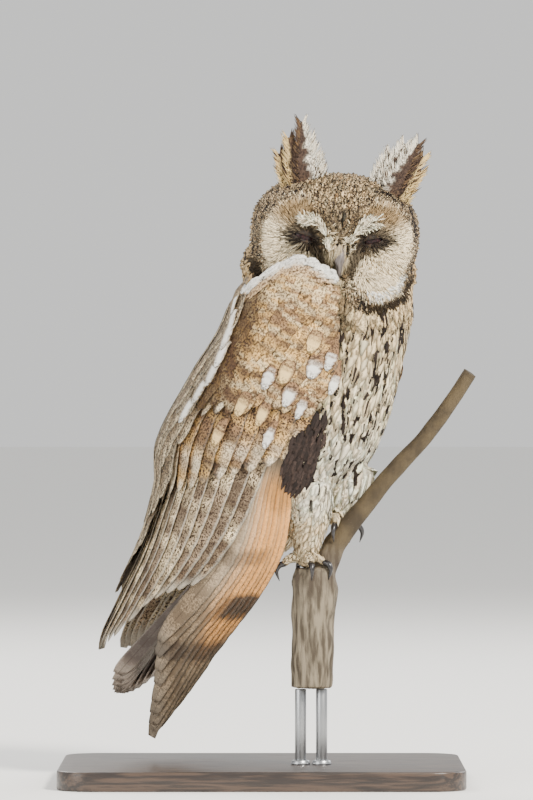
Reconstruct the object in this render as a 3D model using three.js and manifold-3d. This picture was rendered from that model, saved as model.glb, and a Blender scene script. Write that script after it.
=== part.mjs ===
// A long-eared owl dozing on a short cut perch, life size, held by a plain display stand.
// Millimetres, +Z up. The origin is in the middle of the underside of the base.
// The owl's body faces right and towards the front, and its head is turned to the front (-Y).

import * as THREE from 'three';
import { mergeVertices } from 'three/addons/utils/BufferGeometryUtils.js';
import Module from 'manifold-3d';

const wasm = await Module();
wasm.setup();

// Driving dimensions
const GAP = 0.3;                 // left between pieces that meet
const CLEAR = 0.36;              // how far a piece is grown before it is cut out of its neighbour
const FEET = [35, -15, 138];     // between the two feet, on the top of the perch
const BODY_TURN = -35;           // degrees about Z from +X to the way the breast faces
const HEAD_AT = [10.5, -6, 202.5]; // middle of the head from FEET
const HEAD_YAW = 3;
const HEAD_PITCH = 7;
const HEAD_ROLL = 3.4;
const HEAD_WIDE = 53;            // half widths of the head in its own axes
const HEAD_DEEP = 40;
const HEAD_TALL = 39;
const EYE_APART = 21;            // each eye from the middle line
const EYE_RADIUS = 9;
const EYE_DEPTH = 25;            // middle of the eyeball in front of the middle of the head
const LID = 1.2;                 // thickness of the lids
const VANE = 0.8;                // thickness of a flight feather's vane
const BASE_WIDE = 250;
const BASE_DEEP = 190;
const BASE_HIGH = 12;
const ROD_RADIUS = 3.5;
const STEM_BOTTOM = -79;         // cut end of the perch, from FEET

const V = (x, y, z) => new THREE.Vector3(x, y, z);
const degrees = THREE.MathUtils.degToRad;
const clamp = THREE.MathUtils.clamp;
const mix = THREE.MathUtils.lerp;
const bell = (x, width) => Math.exp(-((x / width) ** 2));

// A place on the owl's body: ahead, to its left and up from the feet
const breastWay = V(Math.cos(degrees(BODY_TURN)), Math.sin(degrees(BODY_TURN)), 0);
const leftWay = V(-breastWay.y, breastWay.x, 0);
function onBody(ahead, left, up) {
  return V(...FEET)
    .addScaledVector(breastWay, ahead)
    .addScaledVector(leftWay, left)
    .add(V(0, 0, up));
}

// A place from the feet in the plain axes
const fromFeet = (x, y, z) => V(...FEET).add(V(x, y, z));

// The head's own axes: x to the viewer's right, -y out of the face, z up
const headFrame = new THREE.Matrix4()
  .makeRotationFromEuler(new THREE.Euler(degrees(HEAD_PITCH), degrees(HEAD_ROLL), degrees(HEAD_YAW), 'ZXY'))
  .setPosition(fromFeet(...HEAD_AT));
const onHead = (x, y, z) => V(x, y, z).applyMatrix4(headFrame);

// A smooth line through rows of [place, value, value, ...]
function stations(rows) {
  const slope = (i, k) => {
    const low = rows[Math.max(i - 1, 0)];
    const high = rows[Math.min(i + 1, rows.length - 1)];
    return (high[k] - low[k]) / (high[0] - low[0]);
  };
  return place => {
    let i = 0;
    while (i < rows.length - 2 && place > rows[i + 1][0]) i += 1;
    const from = rows[i];
    const to = rows[i + 1];
    const span = to[0] - from[0];
    const t = clamp((place - from[0]) / span, 0, 1);
    const values = [];
    for (let k = 1; k < from.length; k += 1) {
      const rise = (to[k] - from[k]) * (3 * t * t - 2 * t * t * t);
      const lead = slope(i, k) * span * t * (1 - t) * (1 - t);
      const trail = slope(i + 1, k) * span * t * t * (1 - t);
      values.push(from[k] + rise + lead - trail);
    }
    return values;
  };
}

// A closed form with a pole at each end, from a sphere's net: place(share along, turn about)
function rounded(around, along, place) {
  const form = new THREE.SphereGeometry(1, around, along);
  const points = form.attributes.position;
  for (let i = 0; i < points.count; i += 1) {
    const row = Math.floor(i / (around + 1));
    const column = i % (around + 1) % around;
    const point = place(row / along, (2 * Math.PI * column) / around);
    points.setXYZ(i, point.x, point.y, point.z);
  }
  return form;
}

// A closed limb along a curve, with flat ends: thickness holds rows of [share, radius]
function limb(curvePoints, thickness, around, along) {
  const line = new THREE.CatmullRomCurve3(curvePoints);
  const steps = along - 2;
  const frames = line.computeFrenetFrames(steps);
  const radius = stations(thickness);
  return rounded(around, along, (share, turn) => {
    const row = Math.round(share * along);
    const step = clamp(row - 1, 0, steps);
    const middle = line.getPointAt(step / steps);
    if (row === 0 || row === along) return middle;
    const out = radius(step / steps)[0];
    return middle
      .addScaledVector(frames.normals[step], out * Math.cos(turn))
      .addScaledVector(frames.binormals[step], out * Math.sin(turn));
  });
}

// A thin closed body over a net of points, with the same triangles on both of its faces
function sheet(columns, rows, point) {
  const net = new THREE.PlaneGeometry(1, 1, columns, rows);
  const count = net.attributes.position.count;
  const places = [];
  for (const face of [1, -1]) {
    for (let row = 0; row <= rows; row += 1) {
      for (let column = 0; column <= columns; column += 1) {
        places.push(...point(column / columns, row / rows, face).toArray());
      }
    }
  }
  const corners = [...net.index.array];
  const faces = [...corners];
  const edges = new Set();
  for (let i = 0; i < corners.length; i += 3) {
    const [a, b, c] = corners.slice(i, i + 3);
    faces.push(a + count, c + count, b + count);
    for (const [from, to] of [[a, b], [b, c], [c, a]]) edges.add(`${from} ${to}`);
  }
  for (const edge of edges) {
    const [from, to] = edge.split(' ').map(Number);
    if (edges.has(`${to} ${from}`)) continue;
    faces.push(to, from, from + count, to, from + count, to + count);
  }
  const form = new THREE.BufferGeometry();
  form.setAttribute('position', new THREE.Float32BufferAttribute(places, 3));
  form.setIndex(faces);
  return form;
}

// The same form with its shared vertices merged
function merged(form) {
  const bare = form.clone();
  bare.deleteAttribute('normal');
  bare.deleteAttribute('uv');
  return mergeVertices(bare);
}

// The same form, fatter all over
function grown(form, by) {
  const fat = merged(form);
  fat.computeVertexNormals();
  const points = fat.attributes.position;
  const normals = fat.attributes.normal;
  for (let i = 0; i < points.count; i += 1) {
    points.setXYZ(
      i,
      points.getX(i) + normals.getX(i) * by,
      points.getY(i) + normals.getY(i) * by,
      points.getZ(i) + normals.getZ(i) * by,
    );
  }
  return fat;
}

// Between three.js geometry and solids that can be joined and cut
function solidOf(form) {
  const bare = merged(form);
  const build = corners => new wasm.Manifold(new wasm.Mesh({
    numProp: 3,
    vertProperties: new Float32Array(bare.attributes.position.array),
    triVerts: new Uint32Array(corners),
  }));
  const corners = [...bare.index.array];
  const solid = build(corners);
  if (solid.volume() > 0) return solid;
  return build(corners.reverse());
}

// A form and the same form grown to leave a gap, as solids
function pair(form) {
  const solid = solidOf(form);
  const wound = new THREE.BufferGeometry();
  const mesh = solid.getMesh();
  wound.setAttribute('position', new THREE.BufferAttribute(mesh.vertProperties, 3));
  wound.setIndex([...mesh.triVerts]);
  return { solid, room: solidOf(grown(wound, CLEAR)) };
}

const joined = solids => solids.reduce((all, next) => all.add(next));

function joinedPair(pairs) {
  return { solid: joined(pairs.map(one => one.solid)), room: joined(pairs.map(one => one.room)) };
}

// The largest closed body of a solid, as geometry
function geometryOf(solid) {
  const bodies = solid.decompose();
  bodies.sort((a, b) => b.volume() - a.volume());
  const mesh = bodies[0].getMesh();
  const form = new THREE.BufferGeometry();
  form.setAttribute('position', new THREE.BufferAttribute(mesh.vertProperties, 3));
  form.setIndex([...mesh.triVerts]);
  form.computeVertexNormals();
  return form;
}

const model = new THREE.Group();
function addPiece(name, form, colour, roughness = 0.85, metalness = 0) {
  const material = new THREE.MeshStandardMaterial({ color: colour, roughness, metalness });
  const piece = new THREE.Mesh(form, material);
  piece.name = name;
  model.add(piece);
  return piece;
}

// Adds a piece cut clear of the pieces that are already in their places
const taken = [];
function settle(name, one, colour, roughness) {
  let solid = one.solid;
  for (const room of taken) solid = solid.subtract(room);
  taken.push(one.room);
  return addPiece(name, geometryOf(solid), colour, roughness);
}

// Colours
const BUFF = 0xd8c4a0;
const BROWN = 0x8c6f4e;
const MOTTLED = 0x9c8566;
const FACE = 0xdccbae;
const TUFT = 0x57463c;
const HORN = 0x4a4648;
const CLAW = 0x1f1c1d;
const IRIS = 0x2a1712;
const BARK = 0x6f614c;
const STAND = 0x3a3733;
const STEEL = 0x9a9da0;

// The trunk under the wings, in level slices: [up, middle ahead, half depth, half width]
const trunkSlices = stations([
  [-14, -84, 26, 30],
  [4, -67, 34, 38],
  [22, -55, 42, 45],
  [44, -37, 52, 49],
  [68, -24, 60, 53],
  [99, -12, 61, 54],
  [118, -6, 60, 54],
  [143, 4, 56.5, 53],
  [162, 9, 53, 51],
  [186, 13, 48, 48],
]);
const TRUNK_BOTTOM = -14;
const TRUNK_TOP = 186;
const TRUNK_DOME = 24;
function trunkPoint(share, turn) {
  const up = mix(TRUNK_BOTTOM, TRUNK_TOP, (1 - Math.cos(Math.PI * share)) / 2);
  const [middle, deep, wide] = trunkSlices(up);
  const below = clamp((TRUNK_BOTTOM + TRUNK_DOME - up) / TRUNK_DOME, 0, 1);
  const above = clamp((up - TRUNK_TOP + TRUNK_DOME) / TRUNK_DOME, 0, 1);
  const cap = Math.sqrt(1 - Math.max(below, above) ** 2);
  return onBody(middle + deep * cap * Math.cos(turn), -wide * cap * Math.sin(turn), up);
}
const trunk = pair(rounded(24, 18, trunkPoint));

// The thick ruff of feathers round the neck, under and behind the face
const NECK_WIDE = 56;
const NECK_DEEP = 40;
const NECK_TALL = 33;
const neckRuff = pair(rounded(24, 10, (share, turn) => {
  const polar = Math.PI * share;
  const ring = Math.sin(polar);
  return onHead(
    NECK_WIDE * ring * Math.cos(turn) - 2,
    NECK_DEEP * ring * Math.sin(turn) + 5,
    NECK_TALL * Math.cos(polar) - 24,
  );
}));

// Relief of the face over the plain front of the head, in the head's own x and z
const DISC_MIDDLE = [23, -4];     // middle of each half of the facial disc
const DISC_HALF = [21.5, 26];
const DISC_DISH = 6;
const DISC_RIM = 3;
const BROW_LINE = [[4.5, -8], [14, 9], [22.5, 12]];
const BROW_HEIGHT = 4.5;
const BROW_WIDTH = 3.4;
function distanceTo(line, x, z) {
  let nearest = Infinity;
  for (let i = 0; i < line.length - 1; i += 1) {
    const [x0, z0] = line[i];
    const [x1, z1] = line[i + 1];
    const along = ((x - x0) * (x1 - x0) + (z - z0) * (z1 - z0)) / ((x1 - x0) ** 2 + (z1 - z0) ** 2);
    const t = clamp(along, 0, 1);
    nearest = Math.min(nearest, Math.hypot(x - mix(x0, x1, t), z - mix(z0, z1, t)));
  }
  return nearest;
}
function faceRelief(x, z) {
  const side = Math.abs(x);
  const ring = Math.hypot((side - DISC_MIDDLE[0]) / DISC_HALF[0], (z - DISC_MIDDLE[1]) / DISC_HALF[1]);
  const dish = -DISC_DISH * Math.max(0, 1 - ring * ring);
  const rim = DISC_RIM * bell(ring - 1.1, 0.14);
  const brow = BROW_HEIGHT * bell(distanceTo(BROW_LINE, side, z), BROW_WIDTH);
  const forehead = 4 * bell(x, 7) * clamp((z + 10) / 12, 0, 1);
  const billRoot = 5 * bell(Math.hypot(x, z + 12), 9);
  return dish + rim + brow + forehead + billRoot;
}

// The head: a broad rounded form whose rings run out from the middle of the face
const HEAD_POWER = 2.35;
function headPoint(share, turn) {
  const polar = Math.PI * share ** 1.45;
  const x = Math.sin(polar) * Math.cos(turn);
  const y = -Math.cos(polar);
  const z = Math.sin(polar) * Math.sin(turn);
  const sum = Math.abs(x) ** HEAD_POWER + Math.abs(y) ** HEAD_POWER + Math.abs(z) ** HEAD_POWER;
  const size = sum ** (-1 / HEAD_POWER);
  const wide = HEAD_WIDE * size * x;
  const tall = HEAD_TALL * size * z - 1;
  const front = clamp(-y * 2.2, 0, 1);
  const deep = HEAD_DEEP * size * y - front * faceRelief(wide, tall);
  return onHead(wide, deep, tall);
}
const skull = pair(rounded(36, 20, headPoint));

// Lids nearly closed over the eyeballs, with a slit that slopes down to the bill
const SLIT_LONG = 13;
const SLIT_HIGH = 2.4;
const SLIT_SLOPE = 14;
function ball(centre, radius, around = 14, along = 8) {
  return rounded(around, along, (share, turn) => {
    const polar = Math.PI * share;
    return centre.clone().add(V(
      radius * Math.sin(polar) * Math.cos(turn),
      radius * Math.sin(polar) * Math.sin(turn),
      radius * Math.cos(polar),
    ));
  });
}
function slitCutter(side) {
  const outline = new THREE.Shape();
  outline.moveTo(-SLIT_LONG / 2, 0);
  outline.quadraticCurveTo(0, SLIT_HIGH * 0.8, SLIT_LONG / 2, 0);
  outline.quadraticCurveTo(0, -SLIT_HIGH * 1.2, -SLIT_LONG / 2, 0);
  const cutter = new THREE.ExtrudeGeometry(outline, { depth: 30, bevelEnabled: false, curveSegments: 4 });
  cutter.rotateX(Math.PI / 2);
  cutter.rotateY(-side * degrees(SLIT_SLOPE));
  cutter.translate(side * EYE_APART, -EYE_DEPTH, 0);
  return cutter.applyMatrix4(headFrame);
}
const eyeCentre = side => onHead(side * EYE_APART, -EYE_DEPTH, 0);
const sides = [['right', -1], ['left', 1]];
const lids = sides.map(([, side]) => solidOf(ball(eyeCentre(side), EYE_RADIUS + GAP + LID)));
const sockets = sides.flatMap(([, side]) => [
  solidOf(ball(eyeCentre(side), EYE_RADIUS + GAP)),
  solidOf(slitCutter(side)),
]);
const whole = joined([skull.solid, ...lids, neckRuff.solid, trunk.solid]).subtract(joined(sockets));

// The bill: hooked upper half with nostrils, and the lower half under it
const BILL_MIDDLE = 0.5;
const BILL_RADIUS = 5;
const onBill = (y, z) => onHead(BILL_MIDDLE, y, z);
const upperBillForm = limb(
  [onBill(-32, -3), onBill(-40, -6), onBill(-47, -12), onBill(-47.5, -19), onBill(-44.5, -25)],
  [[0, BILL_RADIUS * 1.1], [0.3, BILL_RADIUS], [0.55, BILL_RADIUS * 0.82], [0.8, BILL_RADIUS * 0.5], [1, 0.5]],
  10,
  10,
);
const lowerBillForm = limb(
  [onBill(-30, -14), onBill(-37, -16), onBill(-42, -20)],
  [[0, 3.6], [0.6, 3], [1, 1]],
  8,
  6,
);
const upperBill = pair(upperBillForm);
const lowerBill = pair(lowerBillForm);
const NOSTRIL = 0.9;
const NOSTRIL_APART = 4.3;
let nostrilled = upperBill.solid;
for (const side of [-1, 1]) {
  nostrilled = nostrilled.subtract(solidOf(ball(onHead(BILL_MIDDLE + side * NOSTRIL_APART, -42, -8), NOSTRIL, 8, 6)));
}

// The head meets the neck along a cut from under the chin up to the nape, and the neck meets the
// trunk along a second cut below it
const CHIN_CUT = 0.34;            // rise of each cut for each step back
function cutAbove(solid, height) {
  const normal = V(0, -CHIN_CUT, 1).normalize();
  const middle = fromFeet(HEAD_AT[0], 0, height);
  return {
    over: solid.trimByPlane(normal.toArray(), normal.dot(middle) + GAP / 2),
    under: solid.trimByPlane(normal.clone().negate().toArray(), -normal.dot(middle) + GAP / 2),
  };
}
const HEAD_CUT = 185;
const NECK_CUT = 172;
const upperBody = cutAbove(whole, HEAD_CUT);
const lowerBody = cutAbove(upperBody.under, NECK_CUT);
taken.push(joined([trunk.room, neckRuff.room, skull.room]));

addPiece('head', geometryOf(upperBody.over.subtract(upperBill.room).subtract(lowerBill.room)), FACE);
addPiece('neck', geometryOf(lowerBody.over), MOTTLED);
addPiece('bill_upper', geometryOf(nostrilled), HORN, 0.45);
addPiece('bill_lower', geometryOf(lowerBill.solid.subtract(upperBill.room)), HORN, 0.45);
for (const [name, side] of sides) {
  addPiece(`eye_${name}`, geometryOf(solidOf(ball(eyeCentre(side), EYE_RADIUS))), IRIS, 0.1);
}

// A point laid on a surface and lifted off it along its normal
const STEP = 0.01;
function laid(surface, p, q, lift) {
  const point = surface(p, q);
  const alongP = surface(p + STEP, q).sub(point);
  const alongQ = surface(p, q + STEP).sub(point);
  const normal = alongP.cross(alongQ).normalize();
  return point.addScaledVector(normal, lift);
}

// The coat surface that each folded wing lies on, in level slices like the trunk's
const mantleSlices = stations([
  [-112, -126, 32, 28],
  [-80, -112, 50, 38],
  [-54, -99, 64, 46],
  [-26, -77, 70, 52],
  [11, -52, 72, 58],
  [46, -37, 74, 62],
  [75, -30, 78, 65],
  [118, -10, 68, 65],
  [143, 1, 60, 62],
  [161, 6, 56, 60],
  [176, 8, 52, 56],
  [190, 10, 44, 48],
]);
function mantle(side) {
  return (turn, up) => {
    const [middle, deep, wide] = mantleSlices(up);
    const angle = degrees(turn);
    return onBody(middle + deep * Math.cos(angle), side * wide * Math.sin(angle), up);
  };
}

// One feather's vane, laid along a path on a surface and tilted like a roof tile
const VANE_ROWS = [0, 0.38, 0.74, 0.93, 1];
const vaneShape = stations([[0, 0.45], [0.38, 0.92], [0.74, 1], [0.93, 0.62], [1, 0.14]]);
const NUDGE = 0.002;
function vane(surface, path, { width, lift, tilt = 0, root = 0, out = 1, rise = [0, 0.3] }) {
  return solidOf(sheet(2, VANE_ROWS.length - 1, (across, along, face) => {
    const share = VANE_ROWS[Math.round(along * (VANE_ROWS.length - 1))];
    const [p, q] = path(share);
    const [aheadP, aheadQ] = path(share + NUDGE);
    const here = surface(p, q);
    const alongP = surface(p + STEP, q).sub(here).divideScalar(STEP);
    const alongQ = surface(p, q + STEP).sub(here).divideScalar(STEP);
    const way = surface(aheadP, aheadQ).sub(here);
    const side = alongP.clone().cross(alongQ).cross(way).normalize();
    const pp = alongP.dot(alongP);
    const pq = alongP.dot(alongQ);
    const qq = alongQ.dot(alongQ);
    const sideP = (side.dot(alongP) * qq - side.dot(alongQ) * pq) / (pp * qq - pq * pq);
    const sideQ = (side.dot(alongQ) * pp - side.dot(alongP) * pq) / (pp * qq - pq * pq);
    const half = (width / 2) * vaneShape(share)[0] * (2 * across - 1);
    const risen = clamp((share - rise[0]) / (rise[1] - rise[0]), 0, 1);
    const height = out * (mix(root, lift, risen) - (tilt * risen * half) / width);
    return laid(surface, p + sideP * half, q + sideQ * half, height + (face * VANE) / 2);
  }));
}

// Outline of a folded wing on that surface: the top for each turn from the breast, and the front
// edge for each height
const wingTop = stations([[35, 168], [46, 174], [60, 184], [78, 188], [105, 174], [135, 161], [175, 150]]);
const wings = {
  right: {
    front: stations([[-112, 47], [-39, 41], [0, 38], [50, 44], [81, 42], [109, 35], [143, 42], [174, 46]]),
    tips: stations([[0, -98], [0.2, -112], [0.45, -100], [0.7, -78], [1, -52]]),
    spread: [16, 36],
    lowest: [[0, -14], [0.3, -25], [0.55, -50], [1, -58]],
    first: 84,
    primaries: 7,
    secondaries: 8,
    greaterCoverts: 6,
    medianCoverts: 5,
    scapulars: 3,
  },
  left: {
    front: stations([[-95, 98], [-39, 104], [0, 96], [50, 66], [81, 54], [109, 50], [143, 56], [174, 60]]),
    tips: stations([[0, -84], [0.2, -95], [0.45, -88], [0.7, -70], [1, -50]]),
    spread: [10, 22],
    lowest: [[0, -10], [0.3, -30], [0.55, -50], [1, -58]],
    first: 112,
    primaries: 5,
    secondaries: 6,
    greaterCoverts: 5,
    medianCoverts: 4,
    scapulars: 2,
  },
};
const WING_REAR = 175;
const SHINGLE = 2;                // rise from the hidden edge of a vane to its open edge
const PRIMARY_SHINGLE = 3.6;
const CORE_FOOT = 48;            // lower end of the solid arm that the vanes grow from
function wingCore(name, side) {
  const surface = mantle(side);
  const { front } = wings[name];
  return sheet(9, 7, (across, along, face) => {
    const top = wingTop(mix(46, WING_REAR, across))[0];
    const up = mix(top, CORE_FOOT, along);
    const turn = mix(front(up)[0], WING_REAR, across);
    const rim = Math.min(1, 6 * across, 6 * (1 - across), 6 * along) ** 0.5;
    const outer = mix(0, -2.5, along) - 2.5 * (1 - rim);
    const inner = mix(-17, -10, along) + 9 * (1 - rim);
    return laid(surface, turn, up, side * (face > 0 ? outer : inner));
  });
}
function wingVanes(name, side) {
  const wing = wings[name];
  const surface = mantle(side);
  const vanes = [];
  const row = (count, make) => {
    for (let i = 0; i < count; i += 1) {
      const { path, width, lift, tilt = SHINGLE } = make(i / (count - 1));
      vanes.push(vane(surface, path, { width, lift, tilt, root: -5, out: side }));
    }
  };
  row(wing.primaries, inward => ({
    width: 15,
    lift: -6,
    tilt: PRIMARY_SHINGLE,
    path: share => {
      const up = mix(66, wing.tips(inward)[0], share);
      return [wing.front(up)[0] + 7 + inward * mix(...wing.spread, share), up];
    },
  }));
  row(wing.secondaries, inward => {
    const low = stations(wing.lowest)(inward)[0];
    return {
      width: 19,
      lift: -2.5,
      path: share => [
        mix(mix(wing.front(60)[0] + 20, 160, inward), mix(wing.first, 163, inward), share),
        mix(72, low, share),
      ],
    };
  });
  row(wing.greaterCoverts, inward => ({
    width: 19,
    lift: 0,
    path: share => [
      mix(wing.front(90)[0] + 10, 158, inward) + 6 * share,
      mix(110, mix(62, 26, inward), share),
    ],
  }));
  row(wing.medianCoverts, inward => ({
    width: 21,
    lift: 2.2,
    path: share => [
      mix(wing.front(120)[0] + 10, 150, inward) + 5 * share,
      mix(142, mix(98, 84, inward), share),
    ],
  }));
  row(wing.scapulars, inward => ({
    width: 20,
    lift: 4.4,
    path: share => [mix(132, 163, inward) + 6 * share, mix(150, mix(104, 52, inward), share)],
  }));
  return vanes;
}
const DARK_COVERTS = 2;
function carpalVanes(name, side) {
  const wing = wings[name];
  const vanes = [];
  for (let i = 0; i < DARK_COVERTS; i += 1) {
    const path = share => {
      const up = mix(100 - 4 * i, 47 + 4 * i, share);
      return [wing.front(up)[0] + 4 + 5 * i, up];
    };
    vanes.push(vane(mantle(side), path, { width: 13, lift: -1.5, tilt: SHINGLE, root: -5, out: side }));
  }
  return vanes;
}
for (const [name, side] of sides) {
  const vanes = [...wingVanes(name, side), ...carpalVanes(name, side)];
  const core = pair(wingCore(name, side));
  settle(`wing_${name}`, { solid: joined([core.solid, ...vanes]), room: core.room }, BROWN);
}

// The tail: a long shallow fan that leaves the rump behind the feet
const TAIL_ROOT = [-62, 0, 22];
const TAIL_TIP = [-147, -5, -87];
const TAIL_ROOT_HALF = 13;
const TAIL_TIP_HALF = 27;
function tailSurface(across, along) {
  const half = mix(TAIL_ROOT_HALF, TAIL_TIP_HALF, along);
  const sag = 5 * across * across;
  return onBody(
    mix(TAIL_ROOT[0], TAIL_TIP[0], along) + sag,
    mix(TAIL_ROOT[1], TAIL_TIP[1], along) + half * across,
    mix(TAIL_ROOT[2], TAIL_TIP[2], along) + 3 * sag * along,
  );
}
const TAIL_FEATHERS = 9;
const TAIL_PLUG = 0.46;           // share of the tail filled by the rump that its feathers grow from
const tailPlug = sheet(4, 3, (across, along, face) => {
  const thick = mix(9, 4, along);
  return laid(tailSurface, mix(-0.85, 0.85, across), mix(0, TAIL_PLUG, along), (face * thick) / 2);
});
const tailVanes = [];
for (let i = 0; i < TAIL_FEATHERS; i += 1) {
  const apart = mix(-1, 1, i / (TAIL_FEATHERS - 1));
  const length = 1 - 0.07 * apart * apart;
  const path = share => [apart * mix(0.5, 0.78, share), mix(TAIL_PLUG * 0.4, length, share)];
  tailVanes.push(vane(tailSurface, path, { width: 17, lift: 1.5 - 5.5 * Math.abs(apart), root: 0 }));
}
const tailCore = pair(tailPlug);
settle('tail', { solid: joined([tailCore.solid, ...tailVanes]), room: tailCore.room }, MOTTLED);

// The perch: a stout cut stem with a knotted top and a smooth side branch
const stem = limb(
  [fromFeet(-4.4, -6, STEM_BOTTOM - 3), fromFeet(-3, -6, -45), fromFeet(-2, -6, -20), fromFeet(-2, -6, -4)],
  [[0, 13.5], [0.6, 14], [0.85, 15], [1, 12.5]],
  14,
  8,
);
const branch = limb(
  [
    fromFeet(0, -6, -22), fromFeet(4, -5, -4), fromFeet(8, -4, 7), fromFeet(25, -4, 29),
    fromFeet(40, -6, 48), fromFeet(72, -12, 84), fromFeet(94, -18, 117),
  ],
  [[0, 9], [0.15, 8.5], [0.3, 7], [0.5, 6.2], [1, 5.2]],
  10,
  12,
);
const knot = rounded(10, 6, (share, turn) => {
  const polar = Math.PI * share;
  return fromFeet(
    7.5 * Math.sin(polar) * Math.cos(turn) - 10,
    8 * Math.sin(polar) * Math.sin(turn) - 9,
    10 * Math.cos(polar) - 14,
  );
});
const perch = joinedPair([stem, branch, knot].map(pair));
perch.solid = perch.solid.trimByPlane([0, 0, 1], FEET[2] + STEM_BOTTOM);
settle('perch', perch, BARK);

// Each feathered leg comes out of the belly and ends in a foot of four toes with claws
const feet = {
  right: {
    hip: [2, -17, 50],
    ankle: [-7, -7, 5],
    sole: [-7, -7, 1],
    toes: [[-172, 15, 6], [-80, 14, 5], [-35, 14, 4], [110, 12, 5]],
  },
  left: {
    hip: [12, 16, 58],
    ankle: [13, 3, 31],
    sole: [13, 1, 26],
    toes: [[25, 12, 9], [62, 12, 10], [-150, 11, 8], [-105, 11, 8]],
  },
};
const TOE = 3.1;
const CLAW_LONG = 12;
function toeLine(foot, [heading, reach, drop]) {
  const way = V(Math.cos(degrees(heading)), Math.sin(degrees(heading)), 0);
  const start = fromFeet(...foot.sole);
  const middle = start.clone().addScaledVector(way, reach * 0.6).add(V(0, 0, 1.5));
  const end = start.clone().addScaledVector(way, reach).add(V(0, 0, -drop * 0.5));
  return { way, start, middle, end };
}
for (const [name] of sides) {
  const foot = feet[name];
  const hip = onBody(...foot.hip);
  const ankle = fromFeet(...foot.ankle);
  const leg = pair(limb(
    [hip, hip.clone().lerp(ankle, 0.5).add(V(1, 0, 0)), ankle],
    [[0, 17], [0.45, 14], [0.8, 9], [1, 6]],
    12,
    8,
  ));
  settle(`leg_${name}`, leg, BUFF);
  const sole = pair(ball(fromFeet(...foot.sole), 5.5, 10, 6));
  const toes = foot.toes.map(toe => {
    const { start, middle, end } = toeLine(foot, toe);
    return pair(limb([start, middle, end], [[0, TOE * 1.2], [0.5, TOE], [1, TOE * 0.7]], 7, 7));
  });
  settle(`foot_${name}`, joinedPair([sole, ...toes]), BUFF);
  foot.toes.forEach((toe, i) => {
    const { way, end } = toeLine(foot, toe);
    const root = end.clone().addScaledVector(way, -1).add(V(0, 0, 0.5));
    const bend = end.clone().addScaledVector(way, CLAW_LONG * 0.32).add(V(0, 0, -CLAW_LONG * 0.3));
    const tip = end.clone().addScaledVector(way, CLAW_LONG * 0.18).add(V(0, 0, -CLAW_LONG * 0.85));
    const claw = pair(limb([root, bend, tip], [[0, 2], [0.5, 1.4], [1, 0.3]], 6, 7));
    settle(`claw_${name}_${i + 1}`, claw, CLAW, 0.3);
  });
}
addPiece('torso', geometryOf(lowerBody.under), BUFF);

// Each ear tuft is a fan of long feathers that stands on the forehead
const TUFT_FEATHERS = 6;
const TUFT_FAN = 44;              // degrees between the outermost feathers
const tufts = {
  right: { root: [-20, 27], length: 44, lean: -4, depth: -13 },
  left: { root: [26, 23], length: 40, lean: 40, depth: -13 },
};
for (const [name, side] of sides) {
  const { root, length, lean, depth } = tufts[name];
  const tuftSurface = (x, z) => onHead(x, depth + 0.012 * (x - root[0]) ** 2, z);
  const vanes = [];
  for (let i = 0; i < TUFT_FEATHERS; i += 1) {
    const apart = mix(-1, 1, i / (TUFT_FEATHERS - 1));
    const angle = degrees(lean + (apart * TUFT_FAN) / 2 + 7);
    const reach = length * (1 - 0.3 * Math.abs(apart + side * 0.2) ** 1.5);
    const path = share => [
      root[0] + Math.sin(angle) * reach * share + 5 * apart * (1 - share),
      root[1] - 4 + Math.cos(angle) * (reach + 4) * share,
    ];
    const lift = side * apart;
    vanes.push(vane(tuftSurface, path, { width: 10, lift: lift * 3.2, root: lift * 0.4, rise: [0.2, 0.6] }));
  }
  const plug = pair(ball(onHead(root[0], depth, root[1] + 7), 5.5, 8, 6));
  settle(`ear_tuft_${name}`, { solid: joined([plug.solid, ...vanes]), room: plug.room }, TUFT);
}

// The stand: a flat base with rounded corners and two short rods up to the cut end of the perch
const CORNER = 22;
const plan = new THREE.Shape();
const halfWide = BASE_WIDE / 2 - CORNER;
const halfDeep = BASE_DEEP / 2 - CORNER;
plan.absarc(halfWide, halfDeep, CORNER, 0, Math.PI / 2);
plan.absarc(-halfWide, halfDeep, CORNER, Math.PI / 2, Math.PI);
plan.absarc(-halfWide, -halfDeep, CORNER, Math.PI, 1.5 * Math.PI);
plan.absarc(halfWide, -halfDeep, CORNER, 1.5 * Math.PI, 2 * Math.PI);
plan.closePath();
const slab = new THREE.ExtrudeGeometry(plan, { depth: BASE_HIGH, bevelEnabled: false, curveSegments: 6 });
addPiece('stand_base', merged(slab), STAND, 0.5);
const rodLow = BASE_HIGH + GAP;
const rodHigh = FEET[2] + STEM_BOTTOM - GAP;
[-6.5, 6.5].forEach((apart, i) => {
  const rod = new THREE.CylinderGeometry(ROD_RADIUS, ROD_RADIUS, rodHigh - rodLow, 16);
  rod.rotateX(Math.PI / 2);
  const piece = addPiece(`stand_rod_${i + 1}`, merged(rod), STEEL, 0.35, 0.9);
  piece.position.set(FEET[0] - 4.4 + apart, FEET[1] - 6, (rodLow + rodHigh) / 2);
});

export default model;
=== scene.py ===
import math

import bmesh
import bpy
import numpy as np
from mathutils import Matrix, Vector
from mathutils.bvhtree import BVHTree


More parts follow.
